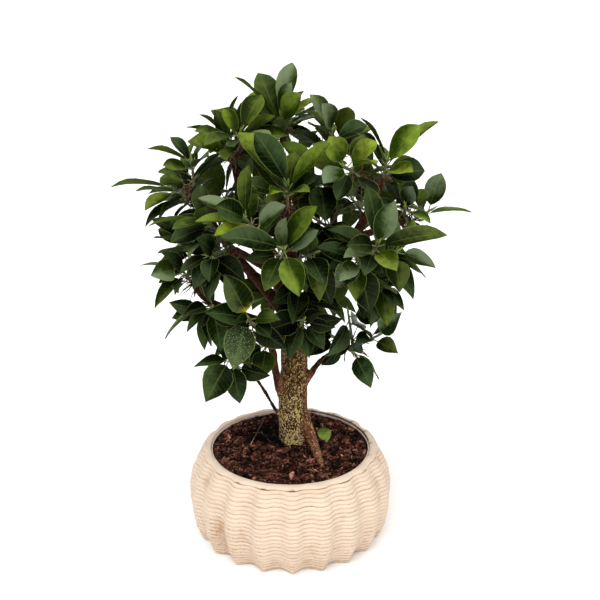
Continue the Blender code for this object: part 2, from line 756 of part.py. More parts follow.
def make_fallen_leaf():
    """A small fresh leaf that dropped onto the mulch."""
    foot = Vector((*FALLEN_FOOT, soil_height(*FALLEN_FOOT) + FALLEN_LIFT + FALLEN_SLOPE))
    tip = Vector((*FALLEN_TIP, soil_height(*FALLEN_TIP) + FALLEN_LIFT))
    bm = bmesh.new()
    leaf_solid(bm, leaf_line(foot, tip, FALLEN_UPSIDE), FALLEN_WIDTH)
    return place_object("fallen_leaf", mesh_from(bm, "fallen_leaf"), "young_leaf")


def main():
    for thing in list(bpy.data.objects):
        bpy.data.objects.remove(thing)
    routes, twigs = plan_wood()
    make_pot()
    make_liner()
    cutters = []
    for route, sides in routes[:2]:
        mesh = mesh_from(tube(route, sides, grow=HOLE_GAP), "hole")
        cutters.append(place_object("hole", mesh))
    make_soil(cutters)
    wood_trees = [tree_of(tube(route, sides, grow=WOOD_MARGIN)) for route, sides in routes]
    leaves = plan_leaves(wood_trees, twigs)
    make_trunk(routes)
    for name, twig in twigs.items():
        make_spray(name, twig[0], leaves[name])
    make_fallen_leaf()
    total = 0
    for thing in bpy.data.objects:
        thing.data.shade_smooth()
        thing.data.set_sharp_from_angle(angle=SHARP_ANGLE)
        thing.data.calc_loop_triangles()
        total += len(thing.data.loop_triangles)
    print("pieces", len(bpy.data.objects), "triangles", total)


main()
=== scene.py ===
# %% [markdown]
# # A Chinese banyan in a cord-wound pot
#
# The object is a small indoor fig tree of the kind grown as a bonsai: a stout mottled
# trunk, a rounded crown of glossy leaves, and a round basket of cream cord round its
# plastic pot. This script dresses the imported solids, which give every place and size,
# with finer pieces: cord rows, bark, mulch and some five hundred veined leaves.
#
# The solids come in as a fixed frame. Each finer piece rides on the frame's one body.

# %% The fixed frame and the units
from math import atan2, cos, exp, pi, radians, sin
from random import Random

import bmesh
import bpy
from mathutils import Matrix, Vector, noise
from mathutils.bvhtree import BVHTree


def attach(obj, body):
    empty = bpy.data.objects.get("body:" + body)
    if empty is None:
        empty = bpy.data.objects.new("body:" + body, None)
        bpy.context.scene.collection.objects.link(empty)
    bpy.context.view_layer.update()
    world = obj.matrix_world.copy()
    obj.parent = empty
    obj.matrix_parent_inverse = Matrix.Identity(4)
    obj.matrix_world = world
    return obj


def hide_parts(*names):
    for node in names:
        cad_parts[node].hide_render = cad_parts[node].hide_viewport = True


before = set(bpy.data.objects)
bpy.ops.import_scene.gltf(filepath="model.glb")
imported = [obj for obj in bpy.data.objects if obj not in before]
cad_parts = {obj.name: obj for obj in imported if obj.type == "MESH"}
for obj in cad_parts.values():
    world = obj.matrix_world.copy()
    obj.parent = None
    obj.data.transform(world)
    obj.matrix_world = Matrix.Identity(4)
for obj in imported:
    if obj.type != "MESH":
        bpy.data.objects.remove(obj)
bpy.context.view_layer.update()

MM = 0.001
BODY = "root"
print("solids in the frame:", len(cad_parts))

# %% [markdown]
# ## Where the picture is taken from
#
# The picture looks down a little on the crown, so that the soil shows as a wide ellipse.
# The camera stands 0.95 m in front of the pot's middle and 0.6 m up, with a lens of about
# 65 mm. Its turn and tilt were found by laying the pot's rim over the picture's ellipse.

# %% Camera
CAMERA_PLACE = (0.0, -0.95, 0.595)
CAMERA_TILT = 20.35
CAMERA_TURN = 0.58
SENSOR = 36.0
LENS = 64.5

camera_data = bpy.data.cameras.new("camera")
camera_data.sensor_width = SENSOR
camera_data.lens = LENS
camera = bpy.data.objects.new("camera", camera_data)
camera.location = CAMERA_PLACE
camera.rotation_euler = (radians(90 - CAMERA_TILT), 0, radians(-CAMERA_TURN))
bpy.context.scene.collection.objects.link(camera)
bpy.context.scene.camera = camera
print("camera", CAMERA_PLACE, "lens", LENS)

# %% [markdown]
# ## Light and floor
#
# Plants are photographed in a white cove under broad lamps. Lamps close by would leave
# the far floor grey, so broad suns do their work here: their light is the same all over
# the floor, and a wide angle keeps the shadows soft. The key comes from above the
# camera's left, and a weaker one from the right opens the shaded side. The sky is a pale
# grey, because dark glossy leaves would turn milky under a bright one.

# %% Lights, sky and floor
SKY_STRENGTH = 0.20
SUNS = [  # name, strength, how wide it is, direction that it shines from
    ("key", 2.3, 50.0, (-0.40, -0.80, 1.25)),
    ("fill", 0.9, 60.0, (0.8, -1.0, 0.8)),
    ("top", 1.8, 70.0, (0.1, 0.25, 1.0)),
]

world = bpy.data.worlds.new("studio")
world.use_nodes = True
background = world.node_tree.nodes["Background"]
background.inputs["Color"].default_value = (1.0, 1.0, 0.98, 1.0)
background.inputs["Strength"].default_value = SKY_STRENGTH
bpy.context.scene.world = world
bpy.context.scene.view_settings.view_transform = "Standard"
for name, strength, width, side in SUNS:
    sun = bpy.data.lights.new(name, "SUN")
    sun.energy = strength
    sun.angle = radians(width)
    lamp = bpy.data.objects.new(name, sun)
    lamp.rotation_euler = Vector(side).to_track_quat("Z", "Y").to_euler()
    bpy.context.scene.collection.objects.link(lamp)
print("lamps:", ", ".join(row[0] for row in SUNS))

# %% Helpers for pieces
def settle(bm, name, finishes, sharp=50.0):
    """Turn a bmesh into a piece of the tree that rides on its body."""
    mesh = bpy.data.meshes.new(name)
    bm.to_mesh(mesh)
    bm.free()
    mesh.shade_smooth()
    mesh.set_sharp_from_angle(angle=radians(sharp))
    for material in finishes:
        mesh.materials.append(material)
    piece = bpy.data.objects.new(name, mesh)
    bpy.context.scene.collection.objects.link(piece)
    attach(piece, BODY)
    return piece


def corners(mesh):
    """How many triangles a mesh has."""
    mesh.calc_loop_triangles()
    return len(mesh.loop_triangles)


def pour(part, bm):
    """Add a finished bmesh to a bigger one, with its colours."""
    mesh = bpy.data.meshes.new("part")
    part.to_mesh(mesh)
    part.free()
    bm.from_mesh(mesh)
    bpy.data.meshes.remove(mesh)


def faces_of(verts):
    """All faces at some points."""
    return list({f for v in verts for f in v.link_faces})


def jitter(rng, reach):
    """A random shift of up to that much along each axis."""
    return Vector([rng.uniform(-reach, reach) for k in range(3)])


def fade(value, start, end):
    """0 up to the start, 1 from the end on, and even between them."""
    return min(1.0, max(0.0, (value - start) / (end - start)))


# %% [markdown]
# ## A short way to write a finish
#
# A finish is a small network of nodes. A few helpers keep each one readable: `add` places
# a node and joins its inputs, `maths`, `times` and `times_plus` return the socket of a
# calculation, `blend` that of a mix of two colours, and `ramp` turns a number into a mask.

# %% Helpers for finishes
def start_finish(name, roughness, specular=0.5):
    """A new Principled finish: its material, node tree and shader."""
    material = bpy.data.materials.new(name)
    material.use_nodes = True
    shader = material.node_tree.nodes["Principled BSDF"]
    shader.inputs["Roughness"].default_value = roughness
    shader.inputs["Specular IOR Level"].default_value = specular
    return material, material.node_tree, shader


def join(tree, value, socket):
    """Wire a socket into another, or set it to a plain value."""
    if isinstance(value, bpy.types.NodeSocket):
        tree.links.new(value, socket)
    else:
        socket.default_value = value


def add(tree, kind, settings=None, **inputs):
    """A node of that kind, with its settings and its inputs set or joined."""
    node = tree.nodes.new("ShaderNode" + kind)
    for key, value in (settings or {}).items():
        setattr(node, key, value)
    for key, value in inputs.items():
        join(tree, value, node.inputs[key.replace("_", " ")])
    return node


def maths(tree, operation, a, b=0.0, c=0.5):
    """The result of one calculation on up to three numbers."""
    node = add(tree, "Math", {"operation": operation})
    for value, socket in zip((a, b, c), node.inputs):
        join(tree, value, socket)
    return node.outputs[0]


def times(tree, first, *others):
    """Some numbers multiplied."""
    for other in others:
        first = maths(tree, "MULTIPLY", first, other)
    return first


def times_plus(tree, a, factor, extra):
    """A number times a factor, and something added."""
    return maths(tree, "MULTIPLY_ADD", a, factor, extra)


def stored(tree, name):
    """The colour and alpha that the mesh stores under a name."""
    outputs = add(tree, "Attribute", {"attribute_name": name}).outputs
    return outputs["Color"], outputs["Alpha"]


def channels(tree, colour):
    """The three channels of a colour."""
    return add(tree, "SeparateColor", Color=colour).outputs[:3]


def blend(tree, factor, a, b, mode="MIX"):
    """Two colours mixed by a factor."""
    node = add(tree, "Mix", {"data_type": "RGBA", "blend_type": mode})
    for value, place in ((factor, 0), (a, 6), (b, 7)):
        join(tree, (*value, 1.0) if isinstance(value, tuple) else value, node.inputs[place])
    return node.outputs[2]


def ramp(tree, factor, low, high):
    """0 below one value, 1 above another, and smooth between them."""
    node = add(tree, "MapRange", {"interpolation_type": "SMOOTHSTEP"}, Value=factor)
    node.inputs["From Min"].default_value = low
    node.inputs["From Max"].default_value = high
    return node.outputs[0]


def speckle(tree, where, size, detail=3.0, stretch=(1.0, 1.0, 1.0)):
    """Cloudy noise of about that grain size, in metres."""
    scaled = add(tree, "Mapping", Vector=where)
    scaled.inputs["Scale"].default_value = stretch
    cloud = add(tree, "TexNoise", Vector=scaled.outputs[0], Scale=1.0 / size, Detail=detail)
    return cloud.outputs["Fac"]


def relief(tree, shader, height, depth, strength=1.0):
    """Let a height in 0..1 raise the surface by a depth in metres."""
    bump = add(tree, "Bump", Height=height, Distance=depth, Strength=strength)
    tree.links.new(bump.outputs[0], shader.inputs["Normal"])


print("helpers are ready")

# %% The floor
FLOOR_HALF = 20.0  # metres
floor_finish, tree, shader = start_finish("pale floor", 0.9, 0.0)
shader.inputs["Base Color"].default_value = (0.97, 0.97, 0.97, 1.0)
bm = bmesh.new()
bmesh.ops.create_grid(bm, x_segments=1, y_segments=1, size=FLOOR_HALF)
floor_mesh = bpy.data.meshes.new("floor")
bm.to_mesh(floor_mesh)
bm.free()
floor_mesh.materials.append(floor_finish)
floor = bpy.data.objects.new("floor", floor_mesh)
bpy.context.scene.collection.objects.link(floor)
print("floor is", 2 * FLOOR_HALF, "m wide")

# %% [markdown]
# ## The basket: rows of wavy cord
#
# The pot is wound from about twenty rows of thick cream cord. All rows swing in and out
# together, which makes the upright flutes. It could be one turned wall with a bump
# pattern, but the rows cast real shadows into each other and their waves show on the
# outline. So each row is a flattened ring, spun round the axis in small steps, and every
# point is then pressed in by a flute rule. It follows the picture more closely than the
# solid's wall does: shallow half way up, and deep and pointed at the foot.

# %% The basket's sizes and its flute rule
POT_FLUTES = 20
FLUTE_PHASE = radians(-1.2)
POINTED_BELOW = 26.0
POT_PROFILE = [  # height, radius on a ridge, depth of the flute there
    (0.0, 90.0, 8.8), (4.0, 92.8, 8.0), (18.0, 98.4, 6.4), (36.0, 100.8, 5.4),
    (50.0, 101.0, 5.4), (66.0, 98.0, 5.0), (79.0, 92.0, 4.0), (86.0, 87.8, 2.8),
    (90.0, 85.0, 2.2)]
POT_INSIDE = [(4.0, 78.0), (18.0, 87.0), (40.0, 89.5), (62.0, 87.0), (82.0, 77.4)]


def round_angle(x, y):
    """The angle round the pot, 0 at the front."""
    return atan2(x, -y)


def valley_at(angle, height):
    """0 on a ridge of the basket, 1 in a flute; near the foot the ridges are pointed."""
    share = 0.5 - 0.5 * cos(POT_FLUTES * (angle + FLUTE_PHASE))
    pointed = max(0.0, 1.0 - height / POINTED_BELOW)
    broad = share * share * (3.0 - 2.0 * share)
    return broad + (share ** 0.5 - broad) * pointed


def wall_at(z):
    """Ridge radius and flute depth at a height, in millimetres."""
    for (z0, r0, d0), (z1, r1, d1) in zip(POT_PROFILE, POT_PROFILE[1:]):
        if z <= z1:
            share = max(0.0, (z - z0) / (z1 - z0))
            return r0 + (r1 - r0) * share, d0 + (d1 - d0) * share
    return POT_PROFILE[-1][1:]


def spun(profile, steps, closed=True):
    """A bmesh turned from (height, radius) pairs in millimetres, starting at the back."""
    bm = bmesh.new()
    points = [bm.verts.new(Vector((0, r, z)) * MM) for z, r in profile]
    pairs = list(zip(points, points[1:])) + ([(points[-1], points[0])] if closed else [])
    edges = [bm.edges.new(pair) for pair in pairs]
    bmesh.ops.spin(
        bm, geom=points + edges, cent=(0, 0, 0), axis=(0, 0, 1),
        angle=2 * pi, steps=steps, use_merge=True)
    bmesh.ops.remove_doubles(bm, verts=bm.verts, dist=1e-6)
    bmesh.ops.recalc_face_normals(bm, faces=bm.faces)
    return bm


print("ridge radius half way up:", wall_at(45.0)[0], "mm")

# %% The cord's finish
CREAM = (0.745, 0.595, 0.460)
DEEP_CREAM = (0.705, 0.545, 0.410)
PALE_CREAM = (0.79, 0.645, 0.505)
GAP_SHADE_BROWN = (0.47, 0.285, 0.16)
VALLEY_BROWN = (0.47, 0.27, 0.14)
DASH_BROWN = (0.30, 0.19, 0.12)
SEAM_SHADE = (0.07, 0.045, 0.035)
STRAND_PITCH = 0.0021
cord_finish, tree, shader = start_finish("cream cord", 0.62, 0.25)
where = add(tree, "TexCoord").outputs["Object"]
shade, full = stored(tree, "shade")
gap_shade, valley, tone = channels(tree, shade)
x, y, z = add(tree, "SeparateXYZ", Vector=where).outputs
lay = times_plus(tree, z, 0.55, times(tree, maths(tree, "ARCTAN2", x, y), 0.1))
strand = maths(tree, "SINE", times(tree, lay, 2 * pi / STRAND_PITCH))
strand = times_plus(tree, strand, 0.5, 0.5)
patches = speckle(tree, where, 0.016)
warm = blend(tree, ramp(tree, patches, 0.35, 0.7), CREAM, DEEP_CREAM)
warm = blend(tree, times(tree, tone, 0.35), warm, PALE_CREAM)
shade_patches = times_plus(tree, ramp(tree, patches, 0.45, 0.75), 0.5, 0.5)
# painted shade: the gaps between the rows turn brown, more in some patches than others
warm = blend(tree, times(tree, ramp(tree, gap_shade, 0.22, 0.62), shade_patches), warm, GAP_SHADE_BROWN)
# darker brown patches in the flute valleys
valley_patches = times(tree, ramp(tree, valley, 0.5, 1.0), ramp(tree, patches, 0.56, 0.72), 0.30)
warm = blend(tree, valley_patches, warm, VALLEY_BROWN)
dashes = ramp(tree, speckle(tree, where, 0.0024), 0.54, 0.66)
dashes = times(tree, dashes, ramp(tree, gap_shade, 0.12, 0.40), 0.5)
warm = blend(tree, dashes, warm, DASH_BROWN)
# painted shade: the seam inside the rim and the nicks across it turn nearly black
warm = blend(tree, full, SEAM_SHADE, warm)
tree.links.new(warm, shader.inputs["Base Color"])
fuzz = speckle(tree, where, 0.0011, 2.0)
relief(tree, shader, times_plus(tree, fuzz, 0.6, times(tree, strand, 0.4)), 0.0005, 0.55)
print("cord finish:", len(tree.nodes), "nodes")

# %% The cord rows
ROWS = 22
ROW_STEPS = POT_FLUTES * 16
RIM_FOOT = 87.0
CORD_DEPTH = 1.25
CORD_SIDES = 8
CORD_FLATNESS = 0.65
CORD_OVERLAP = 0.535
ROW_SWAY = 0.5
BROWNED_SIDE = radians(-45)  # the painted shade in the gaps between the rows is stronger low on the left
BROWNED_WIDTH = radians(17)
BROWNED_HEIGHT = 26.0
BROWNED_REACH = 24.0
BROWNING = 0.5
FOOT_TOP_SHADE = 0.55  # near the foot the gaps hide under the rows above, so the cords' tops get painted shade
FOOT_TOP_SHADE_BELOW = 30.0


def up_the_wall():
    """(height, radius, lean, pitch) of each cord row, evenly spaced along the wall."""
    heights = [0.1 + (RIM_FOOT - 0.1) * k / 400 for k in range(401)]
    lengths = [0.0]
    for low, high in zip(heights, heights[1:]):
        step = Vector((high - low, wall_at(high)[0] - wall_at(low)[0])).length
        lengths.append(lengths[-1] + step)
    pitch = lengths[-1] / ROWS
    rows = []
    for row in range(ROWS):
        goal = pitch * (row + 0.5)
        height = next(h for h, length in zip(heights, lengths) if length >= goal)
        slope = wall_at(height + 1.5)[0] - wall_at(height - 1.5)[0]
        rows.append((height, wall_at(height)[0], atan2(slope, 3.0), pitch))
    return rows


def flute(vert, row, sway=ROW_SWAY):
    """Press a point in along its flute and let the cord wander a little."""
    angle = round_angle(vert.co.x, vert.co.y)
    depth = wall_at(vert.co.z / MM)[1]
    wander = noise.noise(Vector((cos(angle) * 3.1, sin(angle) * 3.1, row * 5.7)))
    valley = valley_at(angle, vert.co.z / MM)
    pull = depth * valley + (0.5 + wander) * sway
    vert.co.xy *= 1.0 - pull * MM / vert.co.xy.length
    return valley


bm = bmesh.new()
tint = bm.verts.layers.float_color.new("shade")
rng = Random(3)
for row, (height, ridge, lean, pitch) in enumerate(up_the_wall()):
    pose = Matrix.Translation(Vector((0, ridge, height)) * MM) @ Matrix.Rotation(-lean, 4, "X")
    ring = bmesh.ops.create_circle(bm, segments=CORD_SIDES, radius=1.0)["verts"]
    tone = rng.random()
    for vert in ring:
        out, up = vert.co.x, vert.co.y
        flat = abs(out) ** CORD_FLATNESS * (1 if out > 0 else -1)
        vert.co = pose @ (Vector((0, (flat - 1) * CORD_DEPTH, up * pitch * CORD_OVERLAP)) * MM)
        top_shade = FOOT_TOP_SHADE * max(0.0, up) * max(0.0, 1.0 - height / FOOT_TOP_SHADE_BELOW)
        # the first channel is painted shade: none on the cord's crest, most in the gaps and, near
        # the foot, on its top
        vert[tint] = ((1 - out) / 2 + top_shade, row / ROWS, tone, 1.0)
bmesh.ops.spin(
    bm, geom=bm.verts[:] + bm.edges[:], cent=(0, 0, 0), axis=(0, 0, 1),
    angle=2 * pi, steps=ROW_STEPS, use_merge=True)
bmesh.ops.remove_doubles(bm, verts=bm.verts, dist=1e-6)
bmesh.ops.recalc_face_normals(bm, faces=bm.faces)
for vert in bm.verts:
    gap_shade, row, tone = vert[tint][:3]
    valley = flute(vert, round(row * ROWS))
    vert.co.z = max(vert.co.z, 0.0)
    # more painted shade in the gaps low on the left, most in the flutes
    sideways = (round_angle(vert.co.x, vert.co.y) - BROWNED_SIDE) / BROWNED_WIDTH
    upwards = (vert.co.z / MM - BROWNED_HEIGHT) / BROWNED_REACH
    browned = exp(-sideways ** 2 - upwards ** 2) * (0.3 + 0.7 * valley)
    vert[tint] = (gap_shade + BROWNING * browned, valley, tone, 1.0)
cords = settle(bm, "pot_cords", [cord_finish], sharp=80)
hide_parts("pot")
print("cord rows:", ROWS, "pitch", round(pitch, 2), "mm, triangles", corners(cords.data))

# %% [markdown]
# ### The wall behind the rows and the rim
#
# Between the rows one looks at the cords' backs, which lie in shade. A closed wall stands
# just behind them, painted in the gaps' shade brown, and also makes the pot's inside and
# floor. The rim is a flat band that the last cord is wound into. It is tied down over the
# ridges, and at some of the ties a short gap opens under it, darkened with painted shade,
# so the band is spun in finer steps than the rows.

# %% The wall behind the rows
WALL_BEHIND = 2.2
outer = [(0.3, 80.0)] + [(z, r - WALL_BEHIND) for z, r, depth in POT_PROFILE if 0.5 < z < 88]
inner = POT_INSIDE[::-1]
bm = spun([(0.3, 0.0)] + outer + inner + [(4.0, 0.0)], ROW_STEPS // 2, closed=False)
tint = bm.verts.layers.float_color.new("shade")
for vert in bm.verts:
    radius = vert.co.xy.length / MM
    if radius > wall_at(vert.co.z / MM)[0] - WALL_BEHIND - 0.2 and vert.co.z > MM:
        flute(vert, 0, sway=0.0)
    # painted shade: the wall takes the dark brown of the gaps
    vert[tint] = (0.9, 0.5, 0.5, 1.0)
wall = settle(bm, "pot_wall", [cord_finish])
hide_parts("pot")
print("wall triangles", corners(wall.data))

# %% The rim band
RIM_STEPS = POT_FLUTES * 24
RIM_INSIDE = 78.2
RIM_WIDTH = 8.4
RIM_SECTION = [
    (86.4, 78.3), (89.2, 78.2), (90.2, 78.6), (90.6, 79.6), (90.5, 81.6), (90.1, 83.6),
    (89.4, 85.2), (88.4, 86.3), (87.4, 86.6), (86.7, 85.8), (86.4, 83.0),
]
# at the ties, painted shade darkens the gap under the rim's lower edge
TIE_WIDTH = 0.030
TIE_DEPTH = 0.9
TIES = {0: 1.0, -1: 0.8, -2: 1.0, 3: 0.6, 4: 0.8, 5: 0.8, -5: 0.5, 8: 0.6}
WEAK_TIE = 0.12
SEAM_FROM, SEAM_TO = radians(95), radians(178)  # a dark line of painted shade shows in the seam inside the rim here
# short dark nicks across the rim at the back right are painted shade
NICK_WIDTH = 0.017
NICKS = {4: 0.6, 5: 1.0, 6: 1.2, 7: 1.1, 8: 1.0, 9: 0.7}

bm = spun(RIM_SECTION, RIM_STEPS)
tint = bm.verts.layers.float_color.new("shade")
for vert in bm.verts:
    angle = round_angle(vert.co.x, vert.co.y)
    outwards = max(0.0, (vert.co.xy.length / MM - RIM_INSIDE) / RIM_WIDTH)
    turn_in = (angle + FLUTE_PHASE) * POT_FLUTES / (2 * pi)
    ridge = round(turn_in)
    off = (turn_in - ridge) * 2 * pi / POT_FLUTES
    tie = TIES.get(ridge, WEAK_TIE) * exp(-(off / TIE_WIDTH) ** 2)
    low = fade(vert.co.z / MM, 89.6, 88.2) * min(1.0, outwards ** 3)
    valley = valley_at(angle, 90.0)
    wander = noise.noise(Vector((cos(angle) * 6.0, sin(angle) * 6.0, 2.0)))
    slant = noise.noise(Vector((angle * 14.0 + outwards * 3.0, outwards * 2.0, 5.0)))
    pull = (2.2 * valley + 0.5 * (0.5 + wander) + 0.35 * slant) * outwards + tie * low * TIE_DEPTH
    vert.co.xy *= 1.0 - pull * MM / vert.co.xy.length
    if vert.co.z > 88.0 * MM:
        vert.co.z -= (0.3 * (0.5 + wander) + 0.3 * valley * outwards - 0.25 * slant * outwards) * MM
    seam = (0.85 + 0.4 * slant) if SEAM_FROM < angle < SEAM_TO and outwards < 0.06 else 0.0
    nick = NICKS.get(ridge, 0.0) * exp(-(off / NICK_WIDTH) ** 2) * max(0.0, 1.0 - 1.7 * outwards)
    # first channel: painted shade under the rim at the ties; alpha: the painted shade of the seam
    # and the nicks
    vert[tint] = (0.1 + 0.9 * tie * low, 0.2 * valley, 0.9, 1.0 - min(1.0, max(seam, nick)))
rim = settle(bm, "pot_rim", [cord_finish], sharp=70)
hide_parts("pot")
print("rim triangles", corners(rim.data))

# %% [markdown]
# ## The liner
#
# A thin plastic cup keeps the cord dry. Only its pale lip shows, as a narrow strip
# between the rim and the soil at the back, and below it the plastic is painted nearly
# black as painted shade. The solid has the right shape but its forty flat sides would show
# against the fine rim, so a cup of the same kind is turned in smaller steps, a little wider.

# %% The liner
LINER_FOOT = 4.3
LINER_TOP = 88.6
SHADED_BELOW = 0.0872  # metres; the painted shade ends lower towards the back
SHADE_SLANT = 0.014
LINER_RADIUS_FOOT = 70.0
LINER_RADIUS_TOP = 77.8
LINER_WALL = 0.8

liner_finish, tree, shader = start_finish("pale plastic", 0.42)
where = add(tree, "TexCoord").outputs["Object"]
dust = ramp(tree, speckle(tree, where, 0.006, 4.0), 0.4, 0.75)
lip = blend(tree, dust, (0.86, 0.74, 0.66), (0.66, 0.52, 0.44))
x, y, height = add(tree, "SeparateXYZ", Vector=where).outputs
over = times_plus(tree, y, SHADE_SLANT, maths(tree, "SUBTRACT", height, SHADED_BELOW))
unshaded = ramp(tree, over, 0.0, 0.0006)
# painted shade: below the lip the cup is nearly black
tree.links.new(blend(tree, unshaded, (0.035, 0.020, 0.015), lip), shader.inputs["Base Color"])
relief(tree, shader, speckle(tree, where, 0.004), 0.0004, 0.3)
floor_top = LINER_FOOT + LINER_WALL
bm = spun([
    (LINER_FOOT, 0.0), (LINER_FOOT, LINER_RADIUS_FOOT), (LINER_TOP - 0.3, LINER_RADIUS_TOP),
    (LINER_TOP, LINER_RADIUS_TOP - 0.2), (LINER_TOP, LINER_RADIUS_TOP - 0.8),
    (LINER_TOP - 0.3, LINER_RADIUS_TOP - LINER_WALL),
    (floor_top, LINER_RADIUS_FOOT - LINER_WALL), (floor_top, 0.0)], 160, closed=False)
liner = settle(bm, "liner_cup", [liner_finish])
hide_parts("liner")
print("liner lip radius", LINER_RADIUS_TOP, "mm")

# %% [markdown]
# ## The soil: bark mulch
#
# The tree stands in shredded bark: dark, reddish-brown and coarse, with a few pale
# fibres. A flat disc with a bump pattern looks like cork, because real mulch has gaps
# and overlaps. So there are three layers: a lumpy ground, about five thousand chips that
# lie on it at all angles, and thin fibres between them. Each chip is a small ball of twenty
# faces, flattened and dented. They are made in small heaps, because adding one more ball
# to a big mesh takes ever longer. Left of the trunk a painted shadow darkens the mulch.

# %% The ground
SOIL_LEVEL = 84.6
SOIL_MOUND = 2.6
MOUND_REACH = 70.0
SOIL_BUMP = 0.66
SOIL_EDGE = 76.6
SOIL_FOOT = 5.6
SOIL_EDGE_FOOT = 68.5
SOIL_RINGS = 44
SOIL_STEPS = 190
GROUND_COLOUR = (0.024, 0.009, 0.005)
BANK_START = 58.0
BANK_RISE = 2.6
TRUNK_FOOT = Vector((6, 22, 0))
# a painted shadow darkens the mulch left of the trunk
SHADOW_PLACE = Vector((-22.0, 31.0))
SHADOW_REACH = 31.0
FALLEN_PLACE = Vector((34.5, 25.0))
FALLEN_CLEAR = 12.0


def soil_height(x, y):
    """Height of the bark mulch at a place, in millimetres."""
    from_trunk = ((x - TRUNK_FOOT.x) ** 2 + (y - TRUNK_FOOT.y) ** 2) ** 0.5
    mound = SOIL_MOUND * max(0.0, 1.0 - from_trunk / MOUND_REACH)
    lumps = sin(x * 0.31 + 1.3) * cos(y * 0.27) + 0.6 * sin(x * 0.13 - y * 0.21)
    return SOIL_LEVEL + mound + SOIL_BUMP * lumps


def crumbly_height(x, y):
    """The same height with the clods and hollows of loose mulch."""
    clods = noise.fractal(Vector((x * 0.16, y * 0.16, 3.0)), 0.8, 2.1, 4)
    crumbs = noise.noise(Vector((x * 0.62, y * 0.62, 8.0)))
    bank = max(0.0, (x * x + y * y) ** 0.5 - BANK_START) / (SOIL_EDGE - BANK_START)
    calm = min(1.0, (Vector((x, y)) - FALLEN_PLACE).length / FALLEN_CLEAR)
    rough = (clods * 1.7 + crumbs * 1.1) * calm
    return soil_height(x, y) + rough - 0.9 + BANK_RISE * bank


def tone_and_shadow(x, y):
    """How light the mulch is: clumps differ in tone, and a painted shadow darkens it left of the
    trunk.
    """
    clump = noise.fractal(Vector((x * 0.085, y * 0.085, 1.0)), 0.6, 2.0, 3)
    shadow = max(0.0, 1.0 - ((Vector((x, y)) - SHADOW_PLACE).length / SHADOW_REACH) ** 2)
    return max(0.15, 1.0 + 1.6 * clump) * (1.0 - 0.95 * min(1.0, 1.5 * shadow))


soil_finish, tree, shader = start_finish("bark mulch", 0.88, 0.08)
where = add(tree, "TexCoord").outputs["Object"]
flakes = speckle(tree, where, 0.0022, 4.0)
cast = blend(tree, ramp(tree, flakes, 0.35, 0.68), (0.45, 0.38, 0.36), (1.45, 1.3, 1.2))
colour = blend(tree, 1.0, stored(tree, "tint")[0], cast, "MULTIPLY")
tree.links.new(colour, shader.inputs["Base Color"])
relief(tree, shader, speckle(tree, where, 0.0009), 0.0007, 0.9)

rings = [(SOIL_LEVEL, SOIL_EDGE * (1 - (k / SOIL_RINGS) ** 1.05)) for k in range(SOIL_RINGS)]
bm = spun(
    [(SOIL_FOOT, 0.0), (SOIL_FOOT, SOIL_EDGE_FOOT)] + rings + [(SOIL_LEVEL, 0.0)],
    SOIL_STEPS, closed=False)
tint = bm.verts.layers.float_color.new("tint")
for vert in bm.verts:
    x, y = vert.co.x / MM, vert.co.y / MM
    if vert.co.z > 40 * MM:
        vert.co.z = crumbly_height(x, y) * MM
    vert[tint] = (*[c * tone_and_shadow(x, y) for c in GROUND_COLOUR], 1.0)
ground = settle(bm, "soil_ground", [soil_finish], sharp=180)
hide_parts("soil")
print("ground triangles", corners(ground.data))

# %% Chips of bark
CHIPS = 5200
BATCH = 200
CHIP_COLOURS = [
    (0.140, 0.056, 0.040), (0.100, 0.038, 0.026), (0.030, 0.010, 0.006), (0.200, 0.092, 0.068),
    (0.012, 0.004, 0.002), (0.130, 0.052, 0.038), (0.060, 0.021, 0.013), (0.250, 0.135, 0.100),
]
CHIP_LENGTH = (0.9, 2.8)
SHORT_SHARE = 0.86
LONG_CHIP = 1.8
CHIP_WIDTH = (0.2, 0.55)  # width and thickness are shares of the length
CHIP_THICKNESS = (0.12, 0.30)
CHIP_LIFT = (-0.2, 1.0)
CHIP_ROLL, CHIP_PITCH = 0.6, 0.38
CHIP_DENT = 0.3
CHIP_GLOW = (0.55, 1.45)
STEM_CLEAR = 14.0


def chip(bm, tint, x, y, rng):
    """Add one flake of bark lying at a place."""
    length = rng.uniform(*CHIP_LENGTH) * (1.0 if rng.random() < SHORT_SHARE else LONG_CHIP)
    size = (length, length * rng.uniform(*CHIP_WIDTH), length * rng.uniform(*CHIP_THICKNESS))
    place = Vector((x, y, crumbly_height(x, y) + rng.uniform(*CHIP_LIFT) * size[2] + 0.1))
    pose = (
        Matrix.Translation(place * MM)
        @ Matrix.Rotation(rng.uniform(0, 2 * pi), 4, "Z")
        @ Matrix.Rotation(rng.gauss(0, CHIP_ROLL), 4, "X")
        @ Matrix.Rotation(rng.gauss(0, CHIP_PITCH), 4, "Y")
        @ Matrix.Diagonal((size[0] * MM, size[1] * MM, size[2] * MM, 1)))
    colour = CHIP_COLOURS[rng.randrange(len(CHIP_COLOURS))]
    glow = rng.uniform(*CHIP_GLOW) * tone_and_shadow(x, y)
    for vert in bmesh.ops.create_icosphere(bm, subdivisions=1, radius=1.0)["verts"]:
        vert.co = pose @ (vert.co + jitter(rng, CHIP_DENT))
        vert[tint] = (*[c * glow for c in colour], 1.0)


bm = bmesh.new()
rng = Random(11)
for batch in range(CHIPS // BATCH):
    heap = bmesh.new()
    tint = heap.verts.layers.float_color.new("tint")
    for number in range(BATCH):
        reach = (SOIL_EDGE - 2.2) * rng.random() ** 0.5
        angle = rng.uniform(0, 2 * pi)
        spot = Vector((reach * cos(angle), reach * sin(angle)))
        if (spot - TRUNK_FOOT.xy).length < STEM_CLEAR:
            continue
        if (spot - FALLEN_PLACE).length > FALLEN_CLEAR:
            chip(heap, tint, spot.x, spot.y, rng)
    pour(heap, bm)
chips = settle(bm, "bark_chips", [soil_finish], sharp=35)
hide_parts("soil")
print("bark chips, triangles", corners(chips.data))


